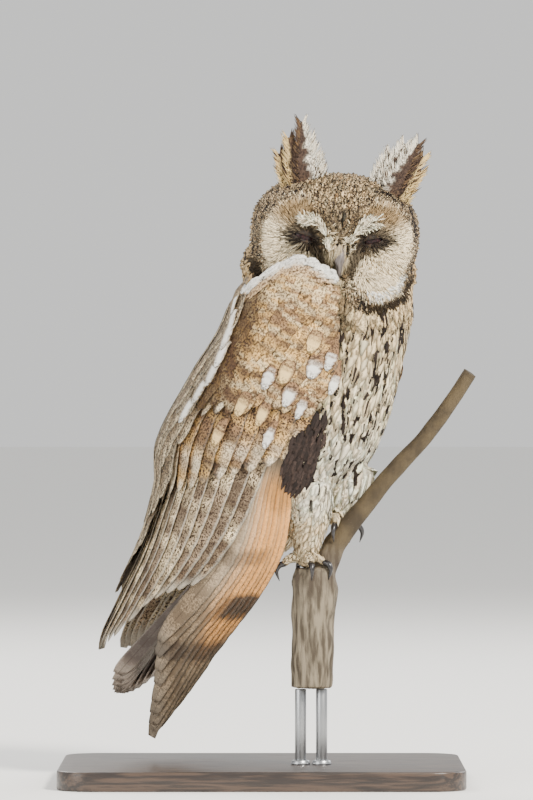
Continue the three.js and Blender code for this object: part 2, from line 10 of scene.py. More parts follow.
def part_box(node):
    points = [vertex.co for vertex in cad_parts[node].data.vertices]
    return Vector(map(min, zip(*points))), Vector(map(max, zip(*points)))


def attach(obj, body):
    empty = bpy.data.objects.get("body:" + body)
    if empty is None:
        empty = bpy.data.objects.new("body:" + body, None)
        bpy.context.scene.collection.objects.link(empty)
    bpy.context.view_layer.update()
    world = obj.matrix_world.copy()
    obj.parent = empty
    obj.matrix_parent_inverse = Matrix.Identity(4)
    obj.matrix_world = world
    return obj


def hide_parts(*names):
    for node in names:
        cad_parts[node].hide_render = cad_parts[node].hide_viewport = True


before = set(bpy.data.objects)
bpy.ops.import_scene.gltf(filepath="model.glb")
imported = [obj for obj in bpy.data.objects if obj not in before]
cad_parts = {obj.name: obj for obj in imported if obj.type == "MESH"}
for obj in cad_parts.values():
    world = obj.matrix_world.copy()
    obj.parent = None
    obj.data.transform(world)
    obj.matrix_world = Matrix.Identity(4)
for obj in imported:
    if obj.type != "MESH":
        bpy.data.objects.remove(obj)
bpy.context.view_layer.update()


# The view of the model: a level camera a few steps away, as in the photograph, with soft
# light from the upper right and a plain pale floor under the stand.
CAMERA_PLACE = (0.003, -3.5, 0.2376)
PICTURE_TALL = 0.496
OWL_PLANE = -0.015
SENSOR = 36.0
camera_data = bpy.data.cameras.new("camera")
camera_data.sensor_width = SENSOR
camera_data.lens = SENSOR * (OWL_PLANE - CAMERA_PLACE[1]) / PICTURE_TALL
camera = bpy.data.objects.new("camera", camera_data)
camera.location = CAMERA_PLACE
camera.rotation_euler = (math.radians(90), 0, 0)
bpy.context.scene.collection.objects.link(camera)
bpy.context.scene.camera = camera


def soft_light(name, place, aim, size, power, colour):
    lamp = bpy.data.lights.new(name, "AREA")
    lamp.shape = "DISK"
    lamp.size = size
    lamp.energy = power
    lamp.color = colour
    lit = bpy.data.objects.new(name, lamp)
    lit.location = place
    lit.rotation_euler = (Vector(aim) - Vector(place)).to_track_quat("-Z", "Y").to_euler()
    bpy.context.scene.collection.objects.link(lit)


OWL_MIDDLE = (0.0, 0.0, 0.25)
soft_light("key", (1.3, -1.7, 1.9), OWL_MIDDLE, 0.6, 150, (1.0, 0.95, 0.87))
soft_light("fill", (-1.9, -1.5, 0.9), OWL_MIDDLE, 1.6, 30, (1.0, 0.98, 0.95))
soft_light("rim", (-0.9, 1.8, 1.7), OWL_MIDDLE, 1.0, 40, (1.0, 0.98, 0.94))
soft_light("behind", (1.6, 1.5, 1.2), OWL_MIDDLE, 1.4, 26, (1.0, 1.0, 1.0))
sky = bpy.data.worlds.new("studio")
sky.use_nodes = True
sky.node_tree.nodes["Background"].inputs["Color"].default_value = (0.86, 0.86, 0.85, 1)
sky.node_tree.nodes["Background"].inputs["Strength"].default_value = 1.0
bpy.context.scene.world = sky


def paint(red, green, blue):
    """A screen colour from 0 to 255, as the linear colour that a material needs."""
    shares = [value / 255 for value in (red, green, blue)]
    return (*(s / 12.92 if s <= 0.04045 else ((s + 0.055) / 1.055) ** 2.4 for s in shares), 1.0)


class Wire:
    """A value or a colour on its way through a finish."""

    def __init__(self, finish, socket):
        self.finish = finish
        self.socket = socket

    def sums(self, operation, first, second=0.0):
        return self.finish.node("Math", {"operation": operation}, {0: first, 1: second})

    def __add__(self, other):
        return self.sums("ADD", self, other)

    __radd__ = __add__

    def __sub__(self, other):
        return self.sums("SUBTRACT", self, other)

    def __rsub__(self, other):
        return self.sums("SUBTRACT", other, self)

    def __mul__(self, other):
        return self.sums("MULTIPLY", self, other)

    __rmul__ = __mul__

    def most(self, other):
        return self.sums("MAXIMUM", self, other)

    def size(self):
        return self.sums("ABSOLUTE", self)

    def wave(self):
        return self.sums("SINE", self)

    def band(self, low, high):
        """0 below low, 1 above high, and smooth between them."""
        ends = {"From Min": low, "From Max": high, "Value": self}
        return self.finish.node("MapRange", {"interpolation_type": "SMOOTHSTEP"}, ends)


class Finish:
    """A material for one kind of surface, with every node added by the node method."""

    def __init__(self, name):
        self.material = bpy.data.materials.new(name)
        self.material.use_nodes = True
        self.tree = self.material.node_tree
        self.tree.nodes.clear()
        self.place = self.node("TexCoord", output="Object")

    def node(self, kind, settings=None, inputs=None, output=0):
        node = self.tree.nodes.new("ShaderNode" + kind)
        for name, value in (settings or {}).items():
            setattr(node, name, value)
        for name, value in (inputs or {}).items():
            if isinstance(value, Wire):
                self.tree.links.new(value.socket, node.inputs[name])
            else:
                node.inputs[name].default_value = value
        return None if output is None else Wire(self, node.outputs[output])

    def noise(self, scale, detail=3.0, place=None, stretch=None):
        where = place or self.place
        if stretch:
            where = self.node("Mapping", None, {"Vector": where, "Scale": stretch})
        return self.node("TexNoise", None, {"Vector": where, "Scale": scale, "Detail": detail})

    def mix(self, first, second, factor):
        return self.node("Mix", {"data_type": "RGBA"}, {0: factor, 6: first, 7: second}, 2)

    def surface(self, colour, roughness, height=None, depth=0.001, bump=0.5, **constants):
        inputs = {"Base Color": colour, "Roughness": roughness}
        inputs.update({name.replace("_", " "): value for name, value in constants.items()})
        if height is not None:
            raised = {"Height": height, "Distance": depth, "Strength": bump}
            inputs["Normal"] = self.node("Bump", None, raised)
        shader = self.node("BsdfPrincipled", None, inputs)
        self.node("OutputMaterial", None, {"Surface": shader}, output=None)
        return self.material


def mesh_of(name, shape):
    """A mesh from a bmesh, which is then freed."""
    data = bpy.data.meshes.new(name)
    shape.to_mesh(data)
    shape.free()
    return data


FLOOR_RADIUS = 25
floor_shape = bmesh.new()
bmesh.ops.create_circle(floor_shape, cap_ends=True, segments=64, radius=FLOOR_RADIUS)
floor_data = mesh_of("floor", floor_shape)
floor_data.materials.append(Finish("pale_floor").surface(paint(244, 243, 240), 0.9))
floor = bpy.data.objects.new("floor", floor_data)
bpy.context.scene.collection.objects.link(floor)


# The display base: a flat board of dark stained wood with rounded corners and an eased edge.
# It is cut from one plank, and two steel rods are let into its top.
BOARD_CORNER = 0.022
BOARD_EDGE = 0.0012


def set_piece(name, data, material, nodes):
    """Makes a mesh a piece of the model, in place of the CAD nodes that are named."""
    data.materials.append(material)
    piece = bpy.data.objects.new(name, data)
    bpy.context.scene.collection.objects.link(piece)
    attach(piece, "root")
    if nodes:
        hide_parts(*nodes)
    return piece


def add_piece(name, shape, material, slot, *nodes):
    data = mesh_of(name, shape)
    data.polygons.foreach_set("use_smooth", [True] * len(data.polygons))
    return set_piece(name, data, material, nodes)


def eased(shape, edges, offset, segments):
    """Rounds these edges over."""
    bmesh.ops.bevel(
        shape, geom=edges, offset=offset, segments=segments, profile=0.5, affect="EDGES", material=-1
    )


low, high = (Vector(corner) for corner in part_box("stand_base"))
size = high - low
board = bmesh.new()
board_place = Matrix.Translation((low + high) / 2) @ Matrix.Diagonal((*size, 1))
bmesh.ops.create_cube(board, size=1, matrix=board_place)
uprights = [e for e in board.edges if abs(e.verts[0].co.z - e.verts[1].co.z) > size.z / 2]
eased(board, uprights, BOARD_CORNER, 14)
eased(board, [e for e in board.edges if e.calc_face_angle(0) > 1.3], BOARD_EDGE, 3)
stain = Finish("dark_stained_board")
grain = stain.noise(42, 6, stretch=(0.35, 5, 5))
pores = stain.noise(900, 2, stretch=(0.05, 1, 1)).band(0.55, 0.75)
figure = (grain * 24).wave() * 0.5 + 0.5
wood = stain.mix(paint(38, 30, 26), paint(74, 58, 47), figure)
wood = stain.mix(wood, paint(24, 19, 17), pores * 0.7)
board_finish = stain.surface(
    wood, 0.36 + 0.2 * pores, figure - pores, 0.0002, 0.35, Coat_Weight=0.25, Coat_Roughness=0.3
)
add_piece("display_base", board, board_finish, "stand", "stand_base")


# The two rods: brushed steel, turned with a small collar where they enter the board.
COLLAR_RADIUS = 0.0062
COLLAR_HIGH = 0.0025
ROD_EDGE = 0.0003
ROD_SIDES = 48
brushed = Finish("brushed_steel")
brush_marks = brushed.noise(2600, 2, stretch=(1, 1, 0.02))
rod_finish = brushed.surface(
    paint(168, 170, 172), 0.24 + 0.22 * brush_marks, brush_marks, 0.00005, 0.3, Metallic=1.0
)
for number in (1, 2):
    low, high = (Vector(corner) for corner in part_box(f"stand_rod_{number}"))
    centre = (low + high) / 2
    foot = Vector((centre.x, centre.y, low.z + COLLAR_HIGH / 2))
    radius = (high.x - low.x) / 2
    rod = bmesh.new()
    bmesh.ops.create_cone(
        rod, cap_ends=True, segments=ROD_SIDES, radius1=radius, radius2=radius,
        depth=high.z - low.z, matrix=Matrix.Translation(centre),
    )
    bmesh.ops.create_cone(
        rod, cap_ends=True, segments=ROD_SIDES, radius1=COLLAR_RADIUS, radius2=COLLAR_RADIUS * 0.86,
        depth=COLLAR_HIGH, matrix=Matrix.Translation(foot),
    )
    eased(rod, [e for e in rod.edges if e.calc_face_angle(0) > 1.2], ROD_EDGE, 2)
    add_piece(f"display_rod_{number}", rod, rod_finish, "rod", f"stand_rod_{number}")


# The perch: a short cut length of a stout dead stem with a knotted top and one smooth side
# branch. The bark is weathered grey-brown on the stem and olive-brown on the branch, and the branch's bark
# is painted darker as painted shade.
FEET = np.array([0.035, -0.015, 0.138])


def solid_copy(nodes, voxel, smoothing):
    """The named CAD nodes as one closed, evenly meshed surface."""
    shape = bmesh.new()
    for node in nodes:
        shape.from_mesh(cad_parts[node].data)
    bmesh.ops.remove_doubles(shape, verts=shape.verts, dist=0.00001)
    return remeshed(shape, voxel, smoothing)


def remeshed(shape, voxel, smoothing):
    """The outer surface of what may be several closed shapes, as one even mesh."""
    blank = bpy.data.objects.new("blank", mesh_of("blank", shape))
    bpy.context.scene.collection.objects.link(blank)
    remesh = blank.modifiers.new("remesh", "REMESH")
    remesh.mode = "VOXEL"
    remesh.voxel_size = voxel
    smooth = blank.modifiers.new("smooth", "SMOOTH")
    smooth.factor = 0.5
    smooth.iterations = smoothing
    bpy.context.view_layer.update()
    live = blank.evaluated_get(bpy.context.evaluated_depsgraph_get())
    result = bmesh.new()
    result.from_mesh(live.to_mesh())
    live.to_mesh_clear()
    bpy.data.objects.remove(blank)
    bmesh.ops.recalc_face_normals(result, faces=result.faces)
    return result


def hum(points, scale, seed):
    """Smooth seeded ripples from -1 to 1 over places in space."""
    draw = np.random.default_rng(seed)
    total = np.zeros(len(points))
    for _ in range(7):
        way = draw.normal(size=3)
        total += np.sin(points @ (way * scale) + draw.uniform(0, 6.28))
    return total / 3.5


def shifted(shape, move):
    """Moves each vertex along its normal by what move gives for the vertices' places."""
    shape.normal_update()
    steps = move(np.array([v.co[:] for v in shape.verts]))
    for vertex, step in zip(shape.verts, steps):
        vertex.co += vertex.normal * float(step)
    shape.normal_update()
    return shape


def bark_relief(places):
    ridges = hum(places * [1, 1, 0.22], 700, 3)
    lumps = hum(places, 160, 4)
    stem = 1 / (1 + np.exp((places[:, 2] - FEET[2] + 0.004) / 0.004))
    return 0.0005 * stem * ridges + 0.0006 * lumps * (0.4 + 0.6 * stem) - 0.0006


perch_shape = shifted(solid_copy(["perch"], 0.0013, 6), bark_relief)
bark = Finish("weathered_bark")
height_up = bark.node("SeparateXYZ", None, {"Vector": bark.place}, 2)
across = bark.node("SeparateXYZ", None, {"Vector": bark.place}, 0)
cracks = bark.noise(330, 6, stretch=(1, 1, 0.16))
flecks = bark.noise(1400, 3)
blotches = bark.noise(70, 3)
stem_bark = bark.mix(paint(70, 61, 48), paint(130, 119, 100), cracks.band(0.38, 0.62))
stem_bark = bark.mix(stem_bark, paint(66, 56, 42), (1 - cracks.band(0.3, 0.42)) * 0.8)
# Painted shade: the branch's olive-brown bark is set darker than its own colour, as it looks in shade.
branch_bark_and_painted_shade = bark.mix(paint(54, 44, 28), paint(82, 69, 46), blotches.band(0.35, 0.65))
branch_bark_and_painted_shade = bark.mix(branch_bark_and_painted_shade, paint(58, 46, 28), flecks.band(0.5, 0.7) * 0.7)
on_branch = (height_up + 0.35 * across).band(0.149, 0.168)
knot_dark = height_up.band(0.112, 0.132) * (1 - on_branch) * blotches.band(0.3, 0.6)
bark_colour = bark.mix(stem_bark, branch_bark_and_painted_shade, on_branch)
bark_colour = bark.mix(bark_colour, paint(56, 44, 34), knot_dark * 0.7)
bark_colour = bark.mix(bark_colour, paint(180, 170, 150), flecks.band(0.66, 0.8) * 0.35)
bark_finish = bark.surface(bark_colour, 0.78 + 0.15 * cracks, cracks + 0.3 * flecks, 0.0009, 0.8)
add_piece("perch_stem", perch_shape, bark_finish, "bark", "perch")


# The owl's own axes: ahead, left and up from between its feet for the body, which faces right
# and towards the camera, and the head's frame, with -y out of the face.
BODY_TURN = math.radians(-35)
breast_way = np.array([math.cos(BODY_TURN), math.sin(BODY_TURN), 0])
left_way = np.array([-breast_way[1], breast_way[0], 0])
up_way = np.array([0, 0, 1.0])
HEAD_MIDDLE = FEET + [0.0105, -0.006, 0.2025]
head_turn = np.array(
    Matrix.Rotation(math.radians(3), 3, "Z")
    @ Matrix.Rotation(math.radians(7), 3, "X")
    @ Matrix.Rotation(math.radians(3.4), 3, "Y")
)


def on_body(ahead, left, up):
    ahead, left, up = np.broadcast_arrays(ahead, left, up)
    return FEET + ahead[..., None] * breast_way + left[..., None] * left_way + up[..., None] * up_way


def body_place(points):
    apart = points - FEET
    return apart @ breast_way, apart @ left_way, apart[..., 2]


def on_head(x, y, z):
    x, y, z = np.broadcast_arrays(x, y, z)
    return HEAD_MIDDLE + np.stack([x, y, z], axis=-1) @ head_turn.T


def head_place(points):
    apart = (points - HEAD_MIDDLE) @ head_turn
    return apart[..., 0], apart[..., 1], apart[..., 2]


def body_up(points):
    return body_place(points)[2]


def head_up(points):
    return head_place(points)[2]


def blend(low, high, value):
    share = np.clip((value - low) / (high - low), 0, 1)
    return share * share * (3 - 2 * share)


def unit(vectors):
    return vectors / np.maximum(np.linalg.norm(vectors, axis=-1, keepdims=True), 1e-9)


def laid(ways, normals):
    """Ways turned to lie flat on a surface that has these normals."""
    return unit(ways - np.sum(ways * normals, axis=-1, keepdims=True) * normals)


def between(start, end, share):
    return start + (end - start) * share


def stations(rows):
    """Smooth lines through rows of (place, value, value, ...)."""
    rows = np.array(rows, dtype=float)
    places = rows[:, 0]
    slopes = np.empty_like(rows[:, 1:])
    for i in range(len(rows)):
        before, after = rows[max(i - 1, 0)], rows[min(i + 1, len(rows) - 1)]
        slopes[i] = (after[1:] - before[1:]) / (after[0] - before[0])

    def line(place):
        place = np.asarray(place, dtype=float)
        i = np.clip(np.searchsorted(places, place) - 1, 0, len(places) - 2)
        span = places[i + 1] - places[i]
        t = np.clip((place - places[i]) / span, 0, 1)[..., None]
        start, end = rows[i, 1:], rows[i + 1, 1:]
        curve = start + (end - start) * (3 * t * t - 2 * t**3)
        curve = curve + slopes[i] * span[..., None] * t * (1 - t) ** 2
        curve = curve - slopes[i + 1] * span[..., None] * t * t * (1 - t)
        return [curve[..., k] for k in range(curve.shape[-1])]

    return line


# The surface of the folded wings' coat, in level slices: up, middle ahead, half depth, half width.
mantle_slices = stations([
    (-0.112, -0.126, 0.032, 0.028),
    (-0.080, -0.112, 0.050, 0.038),
    (-0.054, -0.099, 0.064, 0.046),
    (-0.026, -0.077, 0.070, 0.052),
    (0.011, -0.052, 0.072, 0.058),
    (0.046, -0.037, 0.074, 0.062),
    (0.075, -0.030, 0.078, 0.065),
    (0.118, -0.010, 0.068, 0.065),
    (0.143, 0.001, 0.060, 0.062),
    (0.161, 0.006, 0.056, 0.060),
    (0.176, 0.008, 0.052, 0.056),
    (0.190, 0.010, 0.044, 0.048),
])


def mantle(side, turn, up):
    """Places on a wing's coat: turn in degrees from the breast to the back, up from the feet."""
    middle, deep, wide = mantle_slices(up)
    angle = np.radians(turn)
    return on_body(middle + deep * np.cos(angle), side * wide * np.sin(angle), up)


def mantle_normal(side, turn, up):
    round_it = mantle(side, turn + 0.05, up) - mantle(side, turn - 0.05, up)
    up_it = mantle(side, turn, up + 0.0001) - mantle(side, turn, up - 0.0001)
    return unit(np.cross(round_it, up_it)) * side


RIGHT, LEFT = -1, 1
SIDES = {"right": RIGHT, "left": LEFT}
wing_front = {
    RIGHT: stations([
        (-0.112, 47), (-0.039, 41), (0, 38), (0.05, 44),
        (0.081, 42), (0.109, 35), (0.143, 42), (0.174, 46),
    ]),
    LEFT: stations([
        (-0.095, 98), (-0.039, 104), (0, 98), (0.05, 78),
        (0.081, 68), (0.109, 64), (0.143, 66), (0.174, 68),
    ]),
}
wing_top = stations([
    (35, 0.168), (46, 0.174), (60, 0.184), (78, 0.188), (105, 0.174), (135, 0.161), (175, 0.150),
])


def front_of(side, up):
    return wing_front[side](up)[0]


def mantle_place(points):
    """How far round from the breast places lie, in degrees, and how high."""
    ahead, left, up = body_place(points)
    middle, deep, wide = mantle_slices(np.clip(up, -0.11, 0.19))
    return np.degrees(np.arctan2(np.abs(left) / wide, (ahead - middle) / deep)), up


# The skin: one closed surface for the head, neck, trunk, arms, legs and feet, with no seam,
# which lies a coat's depth inside the solids. Legs and slim toes come from a finer copy, and
# the feathers are rooted in it.
SKIN_VOXEL = 0.0014
TRUNK_VOXEL = 0.0018
TOE_VOXEL = 0.0009
TOE_DEPTH = 0.0004
ARM_LIFT = -0.0125
ARM_THICK = 0.006
ARM_LOW = 0.045
ARM_BACK = 172


def arm_shape(side):
    """The folded arm under the wing's feathers, as a thick closed sheet."""
    shape = bmesh.new()
    bmesh.ops.create_grid(shape, x_segments=24, y_segments=24, size=0.5)
    for vertex in shape.verts:
        across, down = vertex.co.x + 0.5, vertex.co.y + 0.5
        top = wing_top(50 + across * 120)[0] - 0.01
        up = np.array(between(top, ARM_LOW, down))
        turn = np.array(between(float(front_of(side, up)) + 9, ARM_BACK, across))
        vertex.co = Vector(mantle(side, turn, up) + mantle_normal(side, turn, up) * ARM_LIFT)
    bmesh.ops.recalc_face_normals(shape, faces=shape.faces)
    away = mantle(side, np.array(120.0), np.array(0.1)) - on_body(-0.01, 0.0, 0.1)
    outward = shape.faces[:][0].normal.dot(Vector(away))
    bmesh.ops.solidify(shape, geom=shape.faces, thickness=math.copysign(ARM_THICK, outward))
    return shape


def coat_depth(places):
    """How far the skin lies inside the solids: deep on the body, shallow on face and feet."""
    x, y, z = head_place(places)
    depth = between(0.0036, 0.0032, blend(-0.045, -0.03, z))
    depth = between(depth, 0.0022, blend(-0.015, -0.03, y) * blend(-0.04, -0.03, z))
    return -between(depth, 0.0012, blend(0.05, 0.02, body_up(places)))


def toe_depth(places):
    return np.full(len(places), -TOE_DEPTH)


def absorb(shape, other):
    """Adds another bmesh to a shape."""
    data = mesh_of("part", other)
    shape.from_mesh(data)
    bpy.data.meshes.remove(data)


leg_nodes = ["leg_right", "leg_left"]
foot_nodes = ["foot_right", "foot_left"]
body_nodes = ["head", "neck", "torso", *leg_nodes]
body_shape = shifted(solid_copy(body_nodes, TRUNK_VOXEL, 4), coat_depth)
absorb(body_shape, shifted(solid_copy(foot_nodes + leg_nodes, TOE_VOXEL, 2), toe_depth))
for side in SIDES.values():
    absorb(body_shape, arm_shape(side))
skin_shape = remeshed(body_shape, SKIN_VOXEL, 2)

skin_finish = Finish("feathered_skin")
# The tone attribute holds the feathers' colours darkened as painted shade; it is set at the end of the
# script.
skin_tone = skin_finish.node("Attribute", {"attribute_name": "tone"})
skin_mottle = skin_finish.noise(420, 3).band(0.4, 0.6)
skin_colour = skin_finish.mix(skin_tone, paint(60, 45, 32), 0.35 * skin_mottle)
skin_material = skin_finish.surface(skin_colour, 0.9, skin_mottle, 0.0006, 0.5)
skin = add_piece("skin", skin_shape, skin_material, "plumage", *body_nodes, *foot_nodes)


class Surface:
    """The skin, with or without the lids, as something to look places up on."""

    def __init__(self, *pieces):
        points, normals, self.faces, areas = [], [], [], []
        for piece in pieces:
            start = sum(len(part) for part in points)
            data = piece.data
            for rows, key in ((points, "co"), (normals, "normal")):
                values = np.empty(len(data.vertices) * 3)
                data.vertices.foreach_get(key, values)
                rows.append(values.reshape(-1, 3))
            self.faces += [tuple(start + corner for corner in face.vertices) for face in data.polygons]
            areas += [face.area for face in data.polygons]
        self.points = np.concatenate(points)
        normals = np.concatenate(normals)
        self.areas = np.array(areas)
        self.tree = BVHTree.FromPolygons(self.points.tolist(), self.faces)
        self.normals = unit(np.array([normals[list(face)].mean(axis=0) for face in self.faces]))
        self.middles = np.array([self.points[list(face)].mean(axis=0) for face in self.faces])

    def nearest(self, places):
        """The nearest place on the skin to each place, and the skin's normal there."""
        flat = places.reshape(-1, 3)
        found = [self.tree.find_nearest(place) for place in flat]
        bases = np.array([hit[0][:] for hit in found])
        normals = self.normals[[hit[2] for hit in found]]
        return bases.reshape(places.shape), normals.reshape(places.shape)

    def scattered(self, spacing, wanted, seed):
        """Places on the skin about spacing apart, where wanted says so."""
        draw = np.random.default_rng(seed)
        chance = self.areas * wanted(self.middles)
        count = int(chance.sum() / spacing**2 * 4)
        picks = draw.choice(len(self.faces), size=count, p=chance / chance.sum())
        jitter = draw.normal(scale=SKIN_VOXEL * 0.4, size=(count, 3))
        places = self.middles[picks] + jitter
        kept = []
        cells = {}
        for index, place in enumerate(places):
            cell = tuple((place // spacing).astype(int))
            near = [
                other
                for dx in (-1, 0, 1) for dy in (-1, 0, 1) for dz in (-1, 0, 1)
                for other in cells.get((cell[0] + dx, cell[1] + dy, cell[2] + dz), ())
            ]
            if all(np.sum((places[other] - place) ** 2) > (spacing * 0.8) ** 2 for other in near):
                cells.setdefault(cell, []).append(index)
                kept.append(index)
        return places[kept]


skin_surface = Surface(skin)


# How the coat lies: away from the face over the head, and down towards the tail on the body.
# A shaft is traced over the skin from its root, and keeps a set height above it.
def trunk_lie(points):
    ahead, left, up = body_place(points)
    outward = np.sign(left) * blend(0.01, 0.04, np.abs(left)) * blend(0.16, 0.10, up) * 0.12
    swirl = 0.22 * hum(points, 55, 9) * blend(0.04, 0.1, up)
    return -0.36 * breast_way + (outward + swirl)[..., None] * left_way - 0.93 * up_way


def head_lie(points):
    x, y, z = head_place(points)
    front = blend(0.0, -0.03, y)
    ways = [x / 0.03 * front, np.full_like(x, 0.9), front * (z + 0.008) / 0.018 - (1 - front) * 0.7]
    return np.stack(ways, axis=-1) @ head_turn.T


def lie(points, normals):
    head = blend(-0.042, -0.026, head_up(points))[..., None]
    return laid(unit(trunk_lie(points)) * (1 - head) + unit(head_lie(points)) * head, normals)


def traced(roots, ways, lengths, rows, heights, wander=0.0, seed=0, surface=None):
    """Shaft lines that follow a lie over the skin from their roots, and the normals along them."""
    surface = surface or skin_surface
    draw = np.random.default_rng(seed)
    base, normal = surface.nearest(roots)
    lines, normals = [], []
    spin = draw.normal(scale=wander, size=len(roots))[:, None]
    for i, share in enumerate(rows):
        if i:
            way = ways(base, normal)
            way = unit(way + spin * np.cross(normal, way))
            step = (share - rows[i - 1]) * lengths[:, None]
            base, normal = surface.nearest(base + way * step)
        lines.append(base + normal * heights[i][:, None])
        normals.append(normal)
    return np.stack(lines, axis=1), np.stack(normals, axis=1)


def skin_map(points):
    """The skin's own unwrap: the body unrolled about its axis, and the head about its own."""
    ahead, left, up = body_place(points)
    middle, _, _ = mantle_slices(np.clip(up, -0.1, 0.19))
    turn = np.arctan2(left, ahead - middle) / (2 * math.pi) + 0.5
    body_map = np.stack([0.01 + 0.98 * turn, 0.01 + 0.56 * blend_line(-0.13, 0.2, up)], axis=-1)
    x, y, z = head_place(points)
    head_spin = np.arctan2(z, x) / (2 * math.pi) + 0.5
    polar = np.arccos(np.clip(-y / np.maximum(np.sqrt(x * x + y * y + z * z), 1e-6), -1, 1)) / math.pi
    head_map = np.stack([0.01 + 0.98 * head_spin, 0.6 + 0.39 * polar], axis=-1)
    on_top = (z > -0.036)[..., None]
    return np.where(on_top, head_map, body_map)


def blend_line(low, high, value):
    return np.clip((value - low) / (high - low), 0, 1)


# A feather is a thin closed vane with a top and an underside that share their rim. Thousands
# of them are joined into one mesh from arrays, with their paint in the mesh's attributes.
PATCH = 0.003


def feather_mesh(name, line, normal, half, columns, paints, slot, *nodes,
                 thick=0.00035, arch=0.25, tilt=0.0, own_cells=False):
    """Vanes along shaft lines, each a row of places with normals and half widths."""
    count, rows, _ = line.shape
    way = unit(np.gradient(line, axis=1))
    normal = laid(normal, way)
    side = np.cross(way, normal)
    across = np.linspace(-1, 1, columns)
    share = np.linspace(0, 1, rows)
    reach = half[..., None] * across
    drop = tilt * across * blend(0.0, 0.25, share)[:, None] - arch * half[..., None] * across**2
    body = (1 - across**2) * np.sin(math.pi * np.clip(share, 0.02, 0.98))[:, None] ** 0.5 * thick / 2
    middle = line[:, :, None] + side[:, :, None] * reach[..., None]
    top = middle + normal[:, :, None] * (drop + body)[..., None]
    under = middle + normal[:, :, None] * (drop - body)[..., None]
    inner = np.zeros((rows, columns), dtype=bool)
    inner[1:-1, 1:-1] = True
    top_id = np.arange(rows * columns).reshape(rows, columns)
    under_id = top_id.copy()
    under_id[inner] = rows * columns + np.arange(inner.sum())
    points = np.concatenate([top.reshape(count, -1, 3), under[:, inner]], axis=1)
    per = points.shape[1]
    quads = []
    for ids, order in ((top_id, 1), (under_id, -1)):
        square = np.stack([ids[:-1, :-1], ids[:-1, 1:], ids[1:, 1:], ids[1:, :-1]], axis=-1)
        quads.append(square.reshape(-1, 4)[:, ::order])
    corners = (np.concatenate(quads)[None] + (np.arange(count) * per)[:, None, None]).reshape(-1)
    data = bpy.data.meshes.new(name)
    data.vertices.add(count * per)
    data.vertices.foreach_set("co", points.reshape(-1))
    data.loops.add(len(corners))
    data.loops.foreach_set("vertex_index", corners)
    data.polygons.add(len(corners) // 4)
    data.polygons.foreach_set("loop_start", np.arange(0, len(corners), 4))
    data.update(calc_edges=True)
    data.polygons.foreach_set("use_smooth", np.ones(len(corners) // 4, dtype=bool))

    grid_uv = np.stack(np.meshgrid((across + 1) / 2, share), axis=-1).reshape(-1, 2)
    vertex_uv = np.concatenate([grid_uv, grid_uv[inner.reshape(-1)]])
    local = np.tile(vertex_uv, (count, 1))[corners]
    data.uv_layers.new(name="OFBake")
    data.uv_layers.new(name="Vane")
    owner = corners // per
    if own_cells:
        cells = math.ceil(math.sqrt(count))
        baked = (np.stack([owner % cells, owner // cells], axis=-1) + 0.04 + 0.92 * local) / cells
    else:
        baked = skin_map(line[:, 0])[owner] + PATCH * (local - 0.5)
    data.uv_layers["OFBake"].data.foreach_set("uv", baked.reshape(-1))
    data.uv_layers["Vane"].data.foreach_set("uv", local.reshape(-1))
    for key, value in paints.items():
        value = np.asarray(value, dtype=float)[..., :3]
        if value.ndim == 2:
            value = value[:, None, None]
        value = np.broadcast_to(value, (count, rows, columns, 3))
        full = np.ones((count, per, 4))
        full[:, :rows * columns, :3] = value.reshape(count, -1, 3)
        full[:, rows * columns:, :3] = value[:, inner]
        layer = data.attributes.new(key, "FLOAT_COLOR", "POINT")
        layer.data.foreach_set("color", full.reshape(-1))
    return set_piece(name, data, feather_finish, nodes)


plumage = Finish("painted_feather")
tone, ink, marks, trim = (
    plumage.node("Attribute", {"attribute_name": name}) for name in ("tone", "ink", "marks", "trim")
)
streak_share, bar_share, mottle_share = (
    plumage.node("SeparateColor", None, {"Color": marks}, channel) for channel in range(3)
)
fringe_share, bar_count, shaft_share = (
    plumage.node("SeparateColor", None, {"Color": trim}, channel) for channel in range(3)
)
vane_place = plumage.node("UVMap", {"uv_map": "Vane"})
vane_x = plumage.node("SeparateXYZ", None, {"Vector": vane_place}, 0)
vane_y = plumage.node("SeparateXYZ", None, {"Vector": vane_place}, 1)
from_shaft = (vane_x * 2 - 1).size()
fine = plumage.noise(1300, 3)
coarse = plumage.noise(420, 3)
ragged = (fine - 0.5) * 0.5 + (coarse - 0.5) * 0.45
long_marks = plumage.noise(250, 2, stretch=(1, 1, 0.14)) + (fine - 0.5) * 0.12
mark_level = 0.585 - streak_share * 0.06
long_marks = long_marks.band(mark_level, mark_level + 0.05) * streak_share.band(0.1, 0.25)
streak_half = (streak_share - 0.4) * 0.55
streak = 1 - (from_shaft + ragged * 0.6).band(streak_half, streak_half + 0.14)
streak = streak * vane_y.band(0.1, 0.35) * streak_share.band(0.4, 0.5)
bars = (vane_y * bar_count * 62.8 + (from_shaft * 1.6) + (coarse - 0.5) * 5 + (fine - 0.5) * 2.5).wave()
bars = bars.band(-0.1, 0.35)
medium = plumage.noise(800, 3)
specks = (medium * 0.6 + fine * 0.4).band(0.47, 0.55)
mark = streak.most(long_marks).most(bars * bar_share).most(specks * mottle_share)
shade = plumage.mix(tone, ink, mark)
edge = (from_shaft + (fine - 0.5) * 0.7).band(0.72, 0.95).most(vane_y.band(0.88, 0.98))
shade = plumage.mix(shade, paint(236, 228, 210), edge * fringe_share)
shaft = (1 - from_shaft.band(0.03, 0.09)) * shaft_share
shade = plumage.mix(shade, ink, shaft * 0.6)
barbs = (vane_y * 240 - from_shaft * 46).wave()
shade = plumage.mix(shade, (0, 0, 0, 1), 0.13 * (1 - barbs.band(-0.6, 0.6)))
feather_finish = plumage.surface(shade, 0.82, barbs * 0.4 + fine, 0.0003, 0.45, Specular_IOR_Level=0.25)


def vane_profile(share, root, widest, tip_power):
    """Half width of a vane along its length, from 0 to 1."""
    rise = root + (1 - root) * blend(0, widest, share)
    fall = 1 - blend_line(widest, 1.02, share) ** tip_power
    return rise * np.sqrt(np.clip(fall, 0.01, 1))


